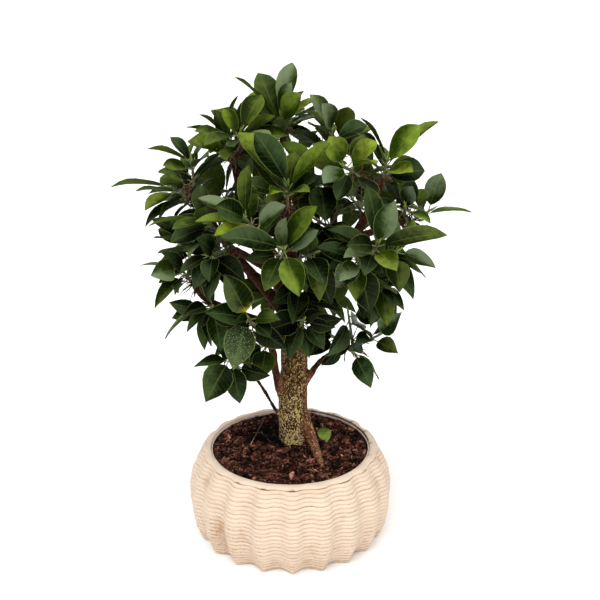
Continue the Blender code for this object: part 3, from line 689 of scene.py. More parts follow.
# %% Fibres and the dry stalk
def rod(bm, route, sides, tint=None, colour=None):
    """Add a closed tapering rod along (x, y, z, radius) points, in millimetres."""
    rings = []
    for index, row in enumerate(route):
        low, high = route[max(0, index - 1)], route[min(len(route) - 1, index + 1)]
        way = (Vector(high[:3]) - Vector(low[:3])).normalized()
        turn = way.to_track_quat("Z", "Y").to_matrix().to_4x4()
        ring = bmesh.ops.create_circle(
            bm, cap_ends=index in (0, len(route) - 1), segments=sides, radius=row[3] * MM,
            matrix=Matrix.Translation(Vector(row[:3]) * MM) @ turn)["verts"]
        rings.append(ring)
    for low, high in zip(rings, rings[1:]):
        edges = {e for v in low + high for e in v.link_edges}
        edges = [e for e in edges if set(e.verts) <= set(low) or set(e.verts) <= set(high)]
        bmesh.ops.bridge_loops(bm, edges=edges)
    verts = [v for ring in rings for v in ring]
    skin = faces_of(verts)
    bmesh.ops.recalc_face_normals(bm, faces=skin)
    middle = verts[0].co
    if sum((f.verts[0].co - middle).dot(f.normal) * f.calc_area() for f in skin) < 0:
        bmesh.ops.reverse_faces(bm, faces=skin)
    if tint:
        for vert in verts:
            vert[tint] = (*colour, 1.0)
    return verts


FIBRES = 170
FIBRE_HALF = (1.8, 4.5)
FIBRE_SAG = 1.2
FIBRE_RADIUS = 0.22
FIBRES_CLEAR = 20.0
PALE_SHARE = 0.22
PALE_FIBRE, DARK_FIBRE = (0.34, 0.22, 0.14), (0.10, 0.05, 0.035)

bm = bmesh.new()
tint = bm.verts.layers.float_color.new("tint")
rng = Random(23)
for number in range(FIBRES):
    reach = (SOIL_EDGE - 4) * rng.random() ** 0.5
    angle = rng.uniform(0, 2 * pi)
    heading = rng.uniform(0, 2 * pi)
    half = rng.uniform(*FIBRE_HALF)
    sag = rng.uniform(-FIBRE_SAG, FIBRE_SAG)
    middle = Vector((reach * cos(angle), reach * sin(angle)))
    if (middle - TRUNK_FOOT.xy).length < FIBRES_CLEAR:
        continue
    step = Vector((cos(heading), sin(heading))) * half
    across = Vector((-step.y, step.x)).normalized() * sag
    spots = [middle - step, middle + across, middle + step]
    if max(s.length for s in spots) > SOIL_EDGE - 1.0:
        continue
    lift = (0.9, rng.uniform(1.2, 2.2), rng.uniform(0.8, 2.6))
    route = [
        (s.x, s.y, crumbly_height(s.x, s.y) + up, FIBRE_RADIUS) for s, up in zip(spots, lift)]
    rod(bm, route, 3, tint, PALE_FIBRE if rng.random() < PALE_SHARE else DARK_FIBRE)

STALK = [  # x, y and how high it lies over the ground
    (-27.0, 59.0, 3.6), (-30.0, 46.0, 3.8), (-33.0, 33.0, 3.6), (-36.5, 20.0, 3.0),
    (-39.5, 7.5, 2.2)]
stalk_route = [
    (x, y, crumbly_height(x, y) + up, 0.95 - 0.1 * k) for k, (x, y, up) in enumerate(STALK)]
for vert in rod(bm, stalk_route, 6):
    share = fade(vert.co.y / MM, 20.0, 12.0)  # its front end is pale
    vert[tint] = (0.09 + 0.60 * share, 0.06 + 0.44 * share, 0.045 + 0.30 * share, 1.0)
fibres = settle(bm, "mulch_fibres", [soil_finish], sharp=60)
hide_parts("soil")
print("fibres, triangles", corners(fibres.data))

# %% [markdown]
# ## How the tree grows
#
# Wood and leaves stand exactly where the solids have them, because the same rules place
# them: limbs are given by points, each shoot grows from the nearest wood, and its leaves
# take their turns by the golden angle. A leaf that would touch wood or another leaf is
# moved or left out. Only the finer shapes below are new. Lengths are in millimetres.

# %% The trunk and its limbs
UP = Vector((0, 0, 1))
FRONT_LIGHT = Vector((0.0, -0.85, 0.53))
CLEARANCE = 0.3
TRUNK = [
    (6, 22, 44, 11.0), (6, 22, 66, 15.5), (6, 22, 86, 17.6), (5, 22, 97, 16.6),
    (3, 21, 118, 14.9), (3, 20, 140, 14.2), (4, 19, 164, 13.3), (4, 18, 190, 12.8),
    (3, 15, 214, 10.6), (2, 12, 250, 7.8), (0, 12, 290, 6.2), (-2, 12, 330, 4.8),
    (-6, 12, 370, 3.4), (-7, 12, 388, 2.4)]
SURFACE_ROOT = [
    (14, 16, 116, 5.0), (19, 6, 100, 6.4), (24, -5, 90, 5.4), (28, -20, 85.5, 4.4),
    (31, -34, 82, 3.4), (33, -43, 77, 2.2)]
SIDE_STEM = [
    (-1, 19, 124, 8.0), (-9, 13, 145, 5.6), (-14, 7, 165, 3.9), (-16, 2, 187, 3.7),
    (-21, -6, 206, 3.5), (-27, -24, 222, 3.2), (-32, -48, 236, 2.8)]
LIMBS = {
    "leader": TRUNK[7:],
    "side_stem": SIDE_STEM[3:],
    "low_left_twig": [
        (-6, 16, 110, 3.0), (-15, 10, 124, 2.2), (-26, -5, 153, 1.8), (-38, -24, 180, 1.7),
        (-46, -38, 188, 1.6)],
    "low_right_twig": [
        (10, 18, 142, 5.0), (18, 16, 156, 3.6), (30, 5, 178, 2.9), (45, -8, 194, 2.6),
        (59, -20, 204, 2.2)],
    "low_left": [
        (0, 16, 198, 7.0), (-25, -2, 220, 5.2), (-55, -18, 238, 4.2), (-76, -30, 255, 3.5),
        (-86, -36, 270, 2.9)],
    "left": [
        (0, 14, 235, 6.5), (-22, 8, 275, 5.4), (-40, 2, 315, 4.5), (-45, 1, 350, 3.9),
        (-50, 3, 372, 3.0)],
    "left_outer": [(-39, 3, 310, 4.0), (-62, -5, 328, 3.3), (-84, -13, 342, 2.7)],
    "left_front": [(-21, 8, 272, 4.6), (-38, -20, 292, 3.8), (-48, -42, 306, 3.1)],
    "right": [
        (3, 14, 225, 7.4), (25, 2, 255, 6.0), (45, -12, 285, 5.0), (61, -18, 315, 4.4),
        (76, -16, 343, 3.5), (82, -14, 358, 2.8)],
    "right_outer": [(58, -17, 308, 4.0), (84, -12, 316, 3.2), (106, -7, 321, 2.6)],
    "right_front": [(24, 3, 254, 5.0), (48, -24, 268, 4.0), (64, -46, 288, 3.3)],
    "right_high": [(44, -11, 283, 4.4), (40, -6, 325, 3.7), (38, 2, 364, 3.0)],
    "front": [(1, 13, 246, 6.2), (-4, -20, 273, 5.0), (-9, -52, 296, 4.1), (-8, -76, 309, 3.3)],
    "front_high": [(-5, -22, 275, 4.4), (-3, -40, 318, 3.7), (-2, -52, 344, 3.0)],
    "front_low": [(3, 14, 208, 5.0), (4, -10, 221, 3.8), (9, -30, 231, 3.0)],
    "back": [
        (2, 17, 232, 7.4), (6, 44, 262, 6.0), (8, 68, 300, 5.0), (5, 82, 335, 4.0),
        (2, 86, 362, 3.0)],
    "back_left": [
        (2, 18, 214, 7.0), (-28, 42, 244, 5.4), (-58, 58, 274, 4.4), (-76, 62, 302, 3.4)],
    "back_right": [(3, 17, 220, 7.0), (30, 38, 250, 5.4), (58, 52, 280, 4.4), (76, 56, 308, 3.4)],
}
BRANCHLET_RADIUS = 2.0
BRANCHLET_BEND = 0.45
DOWNHILL_PENALTY = 1.5
TWIG_RADIUS = 1.5
TWIG_LENGTH = 27.0
TWIG_SHARE = 0.75
TWIG_OUTWARD = 0.3
TWIG_RISE = 0.25
BUD_LENGTH = 9.0
BUD_TIP = 0.3
WOOD_MARGIN = 0.5
TWIG_MARGIN = 0.4
print("limbs:", len(LIMBS))

# %% How leaves take their places
PETIOLE_LENGTH = 7.0
PETIOLE_HALF = 0.75
PETIOLE_KEEL = 0.8
LONGEST_NECK = 0.3
BLADE_KEEL = 0.4
BLADE_RIB = [(0.29, 0.94), (0.68, 0.84)]
BLADE_ARCH = 0.10
BLADE_FOLD = 0.16
MARGINS = (0.55, 0.35)  # room round a whole leaf, and round its blade alone

KNOWN_TRIES = 9
KNOWN_SHIFT = 5.0
KNOWN_FIRST = 1.5
KNOWN_PITCH = 3.2
RULED_TRIES = 14
RULED_FIRST = 2.0
RULED_STEM = 8.0
SHRINK = 0.02
GOLDEN_ANGLE = radians(137.5)
GOLDEN_SWAY = 0.5
SPREAD_OLD = 82.0
SPREAD_YOUNG = 34.0
SPREAD_SWAY = 12.0
LENGTH_SPAN = (0.78, 1.12)
PETIOLE_SHOWN = 0.4
WIDTH_SPAN = (0.46, 0.58)
HANG_SPAN = (0.5, 1.2)
OUTWARD_PULL = 0.35
SKYWARD_PULL = 0.7
NORMAL_SWAY = 0.4
FIRST_SEED = 1000
CROWN_CENTRE = Vector((-2, 6, 305))
CROWN_REACH = Vector((145, 142, 134))
CROWN_HEART = Vector((0, 14, 270))
print("crown reach:", tuple(CROWN_REACH), "mm")

# %% [markdown]
# Each shoot below gives where its twig ends, how many leaves follow the rule, their
# length and how far they hang. Then come the leaves whose place is known, each as the
# reach of its tip from the twig's end, its width and how far it is turned from the front.

# %% The leafy shoots
SPRAYS = {
    "crown": ((-8, 12, 417), 4, 46, 0.0, [
        (11, 16, 43, 19, 10), (10, -4, 30, 16, 25), (19, -20, 22, 22, 5),
        (-21, 8, 36, 24, 5), (-41, -14, 40, 18, 78)]),
    "crown_left": ((-42, -28, 408), 4, 44, 0.1, [
        (18, 16, 30, 20, 15), (-31, -12, -8, 18, 40), (-5, -30, -6, 14, 40)]),
    "crown_front": ((-1, -75, 373), 2, 42, 0.2, [
        (-27, 3, 44, 24, 10), (-42, 26, 40, 22, 20), (34, 3, 35, 18, 35),
        (-14, -27, 0, 14, 30), (17, -27, 2, 12, 30)]),
    "front_left": ((-37, -92, 350), 2, 40, 0.3, [
        (3, 4, 43, 14, 25), (-22, -18, 15, 21, 5), (-39, 12, 14, 16, 30),
        (-40, -8, 0, 16, 40), (-24, -27, -6, 18, 25)]),
    "front_mid": ((-4, -108, 328), 2, 42, 0.4, [
        (-58, -4, 18, 26, 20), (12, -12, -38, 22, 0), (-17, -4, -36, 20, 5),
        (26, 8, 34, 22, 30)]),
    "left_high": ((-57, 5, 397), 3, 40, 0.1, [
        (-22, -5, 22, 16, 75), (-34, -10, 12, 16, 80), (10, 15, 35, 14, 70),
        (-9, 2, 30, 16, 15), (-28, -18, 2, 18, 15)]),
    "left_out": ((-87, -8, 378), 4, 38, 0.2, [
        (-38, -12, 15, 18, 82), (-20, -2, 22, 16, 40), (-24, -14, 0, 14, 20)]),
    "left_tip": ((-105, -22, 358), 2, 40, 0.3, [
        (-52, -14, 5, 18, 82), (4, -22, 19, 22, 5), (-22, -18, -16, 18, 35),
        (-34, 12, -6, 14, 78)]),
    "left_mid": ((-73, -45, 335), 3, 44, 0.4, [
        (-51, -7, -3, 16, 80), (-30, -18, 0, 18, 40), (-31, -14, -17, 20, 10)]),
    "right_high": ((39, 14, 402), 3, 42, 0.1, [
        (-20, 6, 31, 18, 30), (-9, -16, 26, 20, 30), (10, -16, 24, 24, 5),
        (31, -4, 5, 18, 20)]),
    "right_front": ((46, -58, 385), 3, 40, 0.3, [
        (-13, -10, 27, 21, 0), (28, 6, 20, 18, 20), (29, -12, 8, 18, 70),
        (-28, -8, 4, 18, 15)]),
    "right_crown": ((87, -12, 380), 3, 42, 0.2, [
        (-24, 4, 38, 18, 75), (27, -4, 32, 22, 10), (45, 12, 33, 16, 40),
        (20, -28, -4, 18, 25), (33, -8, -8, 24, 5)]),
    "right_tip": ((128, -2, 330), 1, 36, 0.3, [
        (9, 0, 35, 20, 10), (-17, -16, 22, 22, 25), (39, -2, 0, 18, 68)]),
    "right_under": ((103, -20, 339), 3, 38, 0.4, [
        (6, -20, 22, 18, 20), (24, -6, -12, 16, 40), (8, 12, 26, 20, 15)]),
    "right_mid": ((75, -84, 325), 1, 42, 0.4, [
        (-10, 4, 48, 18, 15), (12, -4, 43, 22, 5), (58, 0, 8, 22, 30),
        (14, -20, -18, 20, 10), (-40, 6, 10, 18, 25), (-30, -14, -8, 16, 30)]),
    "right_low": ((94, -54, 308), 3, 44, 0.6, [
        (34, -6, -13, 18, 25), (2, -18, -32, 22, 10), (17, 2, -46, 18, 20),
        (36, 8, -38, 16, 40)]),
    "mid_right": ((58, -78, 309), 1, 42, 0.6, [
        (-2, -14, -34, 18, 5), (-20, -16, -20, 22, 5), (12, 4, -52, 26, 0)]),
    "mid_hollow": ((22, -70, 312), 2, 42, 0.6, [
        (4, -14, -40, 18, 10), (15, 8, -52, 24, 5), (-15, -14, -22, 16, 20)]),
    "right_hang": ((83, -44, 273), 3, 42, 0.8, [
        (4, -16, -34, 18, 5), (20, -8, -20, 16, 25), (-16, 8, -36, 20, 20)]),
    "low_right": ((81, -34, 220), 1, 34, 0.5, [
        (20, -8, 26, 19, 5), (-22, -16, 0, 16, 30), (18, -14, -12, 17, 15)]),
    "low_right_in": ((58, -38, 206), 1, 34, 0.8, [
        (17, -12, -32, 20, 5), (26, 4, -30, 14, 70)]),
    "trunk_leaf": ((42, -24, 214), 3, 38, 0.8, [
        (-27, -16, -12, 20, 25), (-24, 8, 4, 20, 20)]),
    "front_low": ((13, -52, 244), 3, 40, 0.8, [
        (-35, -10, -8, 26, 10), (-15, -6, -38, 18, 20), (18, -6, -28, 18, 20)]),
    "left_hang": ((-36, -86, 259), 1, 40, 0.9, [
        (-14, -10, -46, 28, 5), (-20, 4, 38, 25, 10), (28, -6, 0, 18, 30),
        (20, 2, -20, 18, 30)]),
    "left_hang_in": ((-21, -40, 215), 1, 36, 0.9, [
        (-6, -14, -30, 22, 0), (20, -12, 17, 18, 25)]),
    "left_low": ((-54, -64, 211), 1, 38, 0.8, [
        (-22, -14, -37, 28, 0), (8, 4, -48, 20, 5), (-34, 0, -10, 16, 40),
        (-16, -16, 20, 16, 30)]),
    "left_side": ((-68, -60, 260), 2, 40, 0.8, [
        (7, -12, -40, 18, 5), (-26, 4, -25, 16, 40), (-15, 18, -26, 16, 20)]),
    "left_drop": ((-82, -52, 254), 2, 40, 0.7, [
        (-31, -8, -26, 16, 70), (24, -22, 4, 20, 20)]),
    "left_reach": ((-98, -40, 289), 2, 34, 0.6, [
        (-24, -16, -2, 22, 0), (-36, 0, 3, 14, 80), (-24, -8, -36, 18, 35),
        (-14, -10, 20, 18, 40)]),
    "left_dark": ((-70, -66, 309), 2, 40, 0.6, [
        (33, -16, -22, 22, 15), (-14, 2, -32, 18, 20), (-8, -16, 20, 20, 20)]),
    "back_top": ((2, 60, 408), 9, 44, 0.1, []),
    "back_high_left": ((-50, 62, 382), 9, 44, 0.2, []),
    "back_high_right": ((58, 62, 378), 9, 44, 0.2, []),
    "back_left_out": ((-98, 44, 338), 9, 44, 0.3, []),
    "back_right_out": ((104, 44, 326), 9, 44, 0.3, []),
    "back_mid": ((4, 104, 352), 9, 44, 0.3, []),
    "back_mid_left": ((-62, 92, 322), 9, 44, 0.4, []),
    "back_mid_right": ((62, 90, 318), 9, 44, 0.4, []),
    "back_low": ((2, 98, 282), 9, 44, 0.6, []),
    "back_low_left": ((-80, 66, 268), 9, 44, 0.7, []),
    "back_low_right": ((80, 62, 262), 9, 44, 0.7, []),
    "back_hang": ((-24, 66, 236), 8, 42, 0.8, []),
    "back_hang_right": ((34, 62, 228), 8, 42, 0.8, []),
    "inner_left": ((-34, 34, 348), 7, 44, 0.3, []),
    "inner_right": ((66, 24, 352), 7, 44, 0.3, []),
    "inner_high": ((22, -30, 366), 6, 46, 0.4, []),
    "inner_high_left": ((-45, 18, 412), 5, 42, 0.1, []),
    "inner_mid": ((24, -24, 328), 6, 46, 0.5, []),
    "inner_mid_left": ((-26, -34, 350), 6, 44, 0.4, []),
    "inner_far_left": ((-86, -6, 308), 6, 44, 0.5, []),
    "inner_low": ((10, -34, 268), 5, 42, 0.7, []),
    "inner_low_left": ((-50, -36, 226), 5, 44, 0.8, []),
    "inner_low_right": ((54, -24, 238), 6, 44, 0.8, []),
}
print("shoots:", len(SPRAYS))


# %% Rules for wood
def smooth_route(points, steps):
    """A Catmull-Rom route through given points, each (x, y, z, radius)."""
    rows = [Vector(p) for p in points]
    rows = [rows[0] * 2 - rows[1]] + rows + [rows[-1] * 2 - rows[-2]]
    route = []
    for a, b, c, d in zip(rows, rows[1:], rows[2:], rows[3:]):
        for step in range(steps):
            t = step / steps
            route.append(0.5 * (
                b * 2 + (c - a) * t
                + (a * 2 - b * 5 + c * 4 - d) * t ** 2
                + (b * 3 - a - c * 3 + d) * t ** 3))
    return route + [rows[-2]]


def nearest_wood(anchors, end):
    """The limb point a branchlet grows from: near its end, and rather below it."""
    def cost(point):
        downhill = max(0.0, point.z - end.z + 8.0)
        return (point.xyz - end).length + downhill * DOWNHILL_PENALTY
    return min(anchors, key=cost)


def plan_wood():
    """Every tube of wood, and for each spray its twig's route, end and direction."""
    routes = [(TRUNK, 10), (SURFACE_ROOT, 6), (SIDE_STEM, 6)]
    for name, points in LIMBS.items():
        if name in ("leader", "side_stem"):
            continue
        routes.append((points, 6 if points[0][3] > 4 else 4))
    anchors = [p for points in LIMBS.values() for p in smooth_route(points, 4)[2:]]
    twigs = {}
    for name, spray in SPRAYS.items():
        end = Vector(spray[0])
        near = nearest_wood(anchors, end)
        start = near.xyz
        out = (end - start).normalized()
        flat_out = Vector((out.x, out.y, 0))
        direction = (out + flat_out * TWIG_OUTWARD + UP * TWIG_RISE).normalized()
        base = end - direction * min(TWIG_LENGTH, (end - start).length * TWIG_SHARE)
        bend = base - direction * (base - start).length * BRANCHLET_BEND
        middle = (start + bend * 2 + base) / 4
        radius = min(BRANCHLET_RADIUS, near.w * 0.8)
        branchlet = [
            (*start, radius),
            (*middle, radius * 0.92),
            (*(base - direction * 2.5), TWIG_RADIUS),
            (*base, TWIG_RADIUS),
        ]
        routes.append((branchlet, 4))
        twig = [
            (*(base + direction * CLEARANCE), TWIG_RADIUS),
            (*end, TWIG_RADIUS * 0.75),
            (*(end + direction * BUD_LENGTH), BUD_TIP),
        ]
        twigs[name] = (twig, end, direction)
    return routes, twigs


routes, twigs = plan_wood()
print("wood routes:", len(routes), "twigs:", len(twigs))

# %% [markdown]
# ### Leaves that keep clear of each other
#
# To know whether a leaf fits, its plain solid is made a little swollen and tested
# against wood, twigs and the leaves already placed. A bounding volume tree makes each
# test quick.


# %% Plain solids for the tests
def tube(route, sides, grow=0.0):
    """A closed tube along (x, y, z, radius) points; sides is 4, 6, 8 or more."""
    curve = bpy.data.curves.new("tube", "CURVE")
    curve.dimensions = "3D"
    curve.bevel_depth = MM
    curve.bevel_resolution = (sides - 4) // 2
    curve.use_fill_caps = True
    spline = curve.splines.new("POLY")
    spline.points.add(len(route) - 1)
    for point, row in zip(spline.points, route):
        point.co = (*(Vector(row[:3]) * MM), 1.0)
        point.radius = row[3] + grow
    holder = bpy.data.objects.new("tube", curve)
    mesh = bpy.data.meshes.new_from_object(holder)
    bpy.data.objects.remove(holder)
    bpy.data.curves.remove(curve)
    bm = bmesh.new()
    bm.from_mesh(mesh)
    bpy.data.meshes.remove(mesh)
    bmesh.ops.remove_doubles(bm, verts=bm.verts, dist=1e-6)
    return bm


def tree_of(bm):
    """A collision tree of a bmesh, with its middle and reach for quick tests."""
    bm.verts.ensure_lookup_table()
    middle = sum((v.co for v in bm.verts), Vector()) / len(bm.verts)
    reach = max((v.co - middle).length for v in bm.verts)
    tree = BVHTree.FromBMesh(bm)
    bm.free()
    return middle, reach, tree


def touches(a, b):
    """Whether two such trees overlap."""
    if (a[0] - b[0]).length > a[1] + b[1]:
        return False
    return bool(a[2].overlap(b[2]))


def leaf_line(foot, tip, normal):
    """The arched midrib of a leaf: foot, control point, tip and upper side."""
    axis = tip - foot
    side = axis.cross(normal)
    up = side.cross(axis).normalized()
    middle = (foot + tip) / 2 + up * axis.length * BLADE_ARCH
    return foot, middle, tip, up


def leaf_place(line, t):
    """Point, sideways direction and upper side of a leaf at t from foot to tip."""
    foot, middle, tip, up = line
    point = foot * (1 - t) ** 2 + middle * (2 * t * (1 - t)) + tip * t ** 2
    along = (middle - foot) * (1 - t) + (tip - middle) * t
    side = along.cross(up).normalized()
    return point, side, side.cross(along).normalized()


def leaf_solid(bm, line, width, grow=0.0, petiole=True):
    """One leaf: a three-sided stalk that opens to a keeled blade and ends in a tip."""
    length = (line[2] - line[0]).length
    neck = min(PETIOLE_LENGTH / length, LONGEST_NECK)
    stations = [(0.0, PETIOLE_HALF, 0.0)] if petiole else []
    stations.append((neck, PETIOLE_HALF, 0.0))
    for share, full in BLADE_RIB:
        stations.append((neck + (1 - neck) * share, full * width / 2, BLADE_FOLD))
    rings = []
    for t, half, fold in stations:
        point, side, up = leaf_place(line, t)
        margin = up * (fold * half + grow)
        reach = half + grow
        keel = (BLADE_KEEL if fold else PETIOLE_KEEL) + grow
        ring = [point - side * reach + margin, point + side * reach + margin, point - up * keel]
        rings.append([bm.verts.new(p * MM) for p in ring])
    for low, high in zip(rings, rings[1:]):
        for k in range(3):
            bm.faces.new((low[k], low[k - 2], high[k - 2], high[k]))
    end = bm.verts.new((line[2] + (line[2] - line[1]).normalized() * grow) * MM)
    for k in range(3):
        bm.faces.new((rings[-1][k], rings[-1][k - 2], end))
    bm.faces.new(rings[0][::-1])


def leaf_trees(line, width, margins):
    """Collision trees of a slightly swollen leaf: all of it, and its blade alone."""
    whole = bmesh.new()
    leaf_solid(whole, line, width, grow=margins[0])
    blade = bmesh.new()
    leaf_solid(blade, line, width, grow=margins[1], petiole=False)
    return tree_of(whole), tree_of(blade)


print("a leaf's neck lies", PETIOLE_LENGTH, "mm from its foot")


# %% Rules for leaves
def facing(axis, turn):
    """Upper side of a leaf that is turned by some degrees from the front light."""
    flat = FRONT_LIGHT - axis * (FRONT_LIGHT.dot(axis) / axis.length_squared)
    flat.normalize()
    both = [Matrix.Rotation(radians(s * turn), 3, axis) @ flat for s in (1, -1)]
    return max(both, key=lambda n: n.z)


def known_leaf(end, direction, index, row, attempt):
    """A leaf set by its tip; each attempt shifts it a little in depth and length."""
    dx, dy, dz, width, turn = row
    shift = ((attempt + 1) // 2) * (KNOWN_SHIFT if attempt % 2 else -KNOWN_SHIFT)
    shrink = 1.0 - SHRINK * attempt
    tip = end + Vector((dx, dy + shift, dz)) * shrink
    foot = end - direction * (KNOWN_FIRST + KNOWN_PITCH * index)
    return leaf_line(foot, tip, facing(tip - foot, turn)), width * shrink


def ruled_leaf(end, direction, index, count, length, hang, rng):
    """A leaf set by the golden angle round its twig, then bent out and down."""
    share = (index + 0.5) / count
    sway = rng.uniform(-SPREAD_SWAY, SPREAD_SWAY)
    spread = radians(SPREAD_OLD - SPREAD_YOUNG * (1 - share) + sway)
    foot = end - direction * (RULED_FIRST + (TWIG_LENGTH - RULED_STEM) * share)
    across = direction.orthogonal().normalized()
    round_twig = GOLDEN_ANGLE * index + rng.uniform(-GOLDEN_SWAY, GOLDEN_SWAY)
    across.rotate(Matrix.Rotation(round_twig, 3, direction))
    way = direction * cos(spread) + across * sin(spread)
    outward = (end - CROWN_HEART).normalized()
    way = (way + outward * OUTWARD_PULL - UP * hang * rng.uniform(*HANG_SPAN)).normalized()
    reach = length * rng.uniform(*LENGTH_SPAN)
    tip = foot + way * (reach + PETIOLE_LENGTH * PETIOLE_SHOWN)
    normal = UP * SKYWARD_PULL + outward + jitter(rng, NORMAL_SWAY)
    return leaf_line(foot, tip, normal), reach * rng.uniform(*WIDTH_SPAN)


def crown_share(point):
    """How far out in the rounded crown a point lies, 1 at its surface."""
    away = point - CROWN_CENTRE
    return Vector((away.x / CROWN_REACH.x, away.y / CROWN_REACH.y, away.z / CROWN_REACH.z))


def in_crown(point):
    """Whether a leaf tip lies inside the tree's rounded crown."""
    return crown_share(point).length < 1.0


# %% Tests and the known leaves
placed = []
leaves = {name: [] for name in SPRAYS}
wood_trees = [tree_of(tube(route, sides, grow=WOOD_MARGIN)) for route, sides in routes]
twig_trees = {name: tree_of(tube(twig[0], 4, TWIG_MARGIN)) for name, twig in twigs.items()}


def keep(name, line, width, margins=MARGINS):
    """Keep the leaf if it is clear of wood, twigs and the leaves already there."""
    whole, blade = leaf_trees(line, width, margins)
    if any(touches(whole, wood) for wood in wood_trees):
        return False
    for other, tree in twig_trees.items():
        if touches(blade if other == name else whole, tree):
            return False
    for other, other_whole, other_blade in placed:
        mine, theirs = (blade, other_blade) if other == name else (whole, other_whole)
        if touches(mine, theirs):
            return False
    placed.append((name, whole, blade))
    leaves[name].append((line, width))
    return True


for name, spray in SPRAYS.items():
    end, direction = twigs[name][1:]
    for index, row in enumerate(spray[4]):
        for attempt in range(KNOWN_TRIES):
            if keep(name, *known_leaf(end, direction, index, row, attempt)):
                break
        else:
            leaves[name].append(None)
print("known leaves:", len(placed))

# %% Leaves that follow the rule
for order, (name, spray) in enumerate(SPRAYS.items()):
    count, length, hang, known = spray[1:]
    end, direction = twigs[name][1:]
    rng = Random(FIRST_SEED + order)
    total = count + len(known)
    for index in range(len(known), total):
        for attempt in range(RULED_TRIES):
            size = length * (1 - SHRINK * attempt)
            line, width = ruled_leaf(end, direction, index, total, size, hang, rng)
            if in_crown(line[2]) and keep(name, line, width):
                break
print("leaves, as in the solids:", len(placed))

# %% [markdown]
# The solids have as many leaves as they can carry. A living crown is fuller, so each
# shoot gets a few more here, smaller and closer in, by the same rule and tests. None go
# into the lower half, where one sees through to the branches.

# %% Fill the crown
MORE_LEAVES = 7
MORE_TRIES = 12
MORE_LENGTH = 0.92
MORE_SEED = 3000
FILL_INSET = 0.12
FILL_FLOOR = 236.0
FILL_MARGINS = (0.25, 0.15)

for order, (name, spray) in enumerate(SPRAYS.items()):
    count, length, hang, known = spray[1:]
    end, direction = twigs[name][1:]
    rng = Random(MORE_SEED + order)
    for index in range(MORE_LEAVES):
        for attempt in range(MORE_TRIES):
            size = length * MORE_LENGTH * (1 - SHRINK * attempt)
            line, width = ruled_leaf(end, direction, index, MORE_LEAVES, size, hang, rng)
            inside = in_crown(line[2] + (line[2] - CROWN_HEART) * FILL_INSET)
            if inside and line[2].z > FILL_FLOOR and keep(name, line, width, FILL_MARGINS):
                break
print("leaves with the filling:", len(placed))

# %% [markdown]
# ## The wood
#
# Trunk and limbs are one grown body. Tubes laid into each other would show hard creases
# where they meet, so the tubes are joined by a voxel remesh, smoothed, and given the
# slight lumps of bark. The thin branchlets are too fine for that grid and stay rods that
# start inside the limbs, and a few bare twigs start inside each of them.
#
# The bark is brown, closely sprinkled with yellow-beige spots of lichen and cork pores.
# The spots are dense low on the trunk. The surface root, the side stem and the limbs in the
# crown are redder. Those limbs are smooth, and the root is gnarled. The limbs in the crown,
# less near its top, and those away from the trunk are darkened with painted shade.

# %% The bark's finish
BROWN_BARK = (0.135, 0.066, 0.018)
LIGHT_BARK = (0.215, 0.118, 0.036)
BARK_PITS = (0.040, 0.017, 0.004)
RED_PITS = (0.120, 0.042, 0.021)
RED_BARK = (0.320, 0.135, 0.072)
LICHEN = (0.68, 0.50, 0.20)
PALE_LICHEN = (0.88, 0.69, 0.38)
bark_finish, tree, shader = start_finish("mottled bark", 0.82, 0.12)
where = add(tree, "TexCoord").outputs["Object"]
redness, spots, shaded = channels(tree, stored(tree, "kind")[0])
clouds = speckle(tree, where, 0.011, 4.0, (1, 1, 0.6))
fine = speckle(tree, where, 0.0024, 4.0, (1, 1, 0.7))
grain = speckle(tree, where, 0.0012, 2.5, (1, 1, 0.85))
brown = blend(tree, ramp(tree, clouds, 0.35, 0.65), BROWN_BARK, LIGHT_BARK)
brown = blend(tree, ramp(tree, fine, 0.42, 0.62), BARK_PITS, brown)
red = blend(tree, ramp(tree, fine, 0.4, 0.66), RED_PITS, RED_BARK)
wood = blend(tree, redness, brown, red)
mask = times_plus(tree, fine, 0.35, grain)
limit = times_plus(tree, clouds, 0.5, times_plus(tree, spots, -0.22, 0.645))
lichen = ramp(tree, maths(tree, "SUBTRACT", mask, limit), 0.0, 0.06)
pale = blend(tree, ramp(tree, clouds, 0.3, 0.7), LICHEN, PALE_LICHEN)
wood = blend(tree, times(tree, lichen, 0.95), wood, pale)
# painted shade: the limbs in the crown and away from the trunk are darkened
wood = blend(tree, shaded, wood, blend(tree, 1.0, wood, (0.24, 0.20, 0.19), "MULTIPLY"))
tree.links.new(wood, shader.inputs["Base Color"])
relief(tree, shader, times_plus(tree, fine, 0.8, times(tree, lichen, 0.3)), 0.0009, 0.8)
print("bark finish:", len(tree.nodes), "nodes")

# %% Trunk and limbs, grown together
VOXEL = 1.25
SMOOTHING = 3
TUBE_SIDES = 16
STOUT_BELOW = 215  # higher up the bark is smoother
FINE_BARK = 0.45
RED_HEIGHTS = (175, 235)  # heights over which the bark turns red
RED_ROOT, RED_STEM = (9, 6), (7, 5)  # and distances from the root's and the stem's line
RED_SIDE = (12, 17)
# painted shade darkens the limbs over the first heights, and eases off over the second
SHADED_HEIGHTS, CLEARER_HEIGHTS = (165, 215), (290, 340)
BARE_TWIGS = (4, 8)
SPOTS_FROM, SPOTS_TO = 95, 295
ROOT_SPOTS = 0.30
BARK_LUMPS, BARK_RIDGES = 0.55, 0.22


def rounded(points):
    """A route with smooth bends between its points, for a finer tube."""
    return [tuple(p) for p in smooth_route(points, 5)]


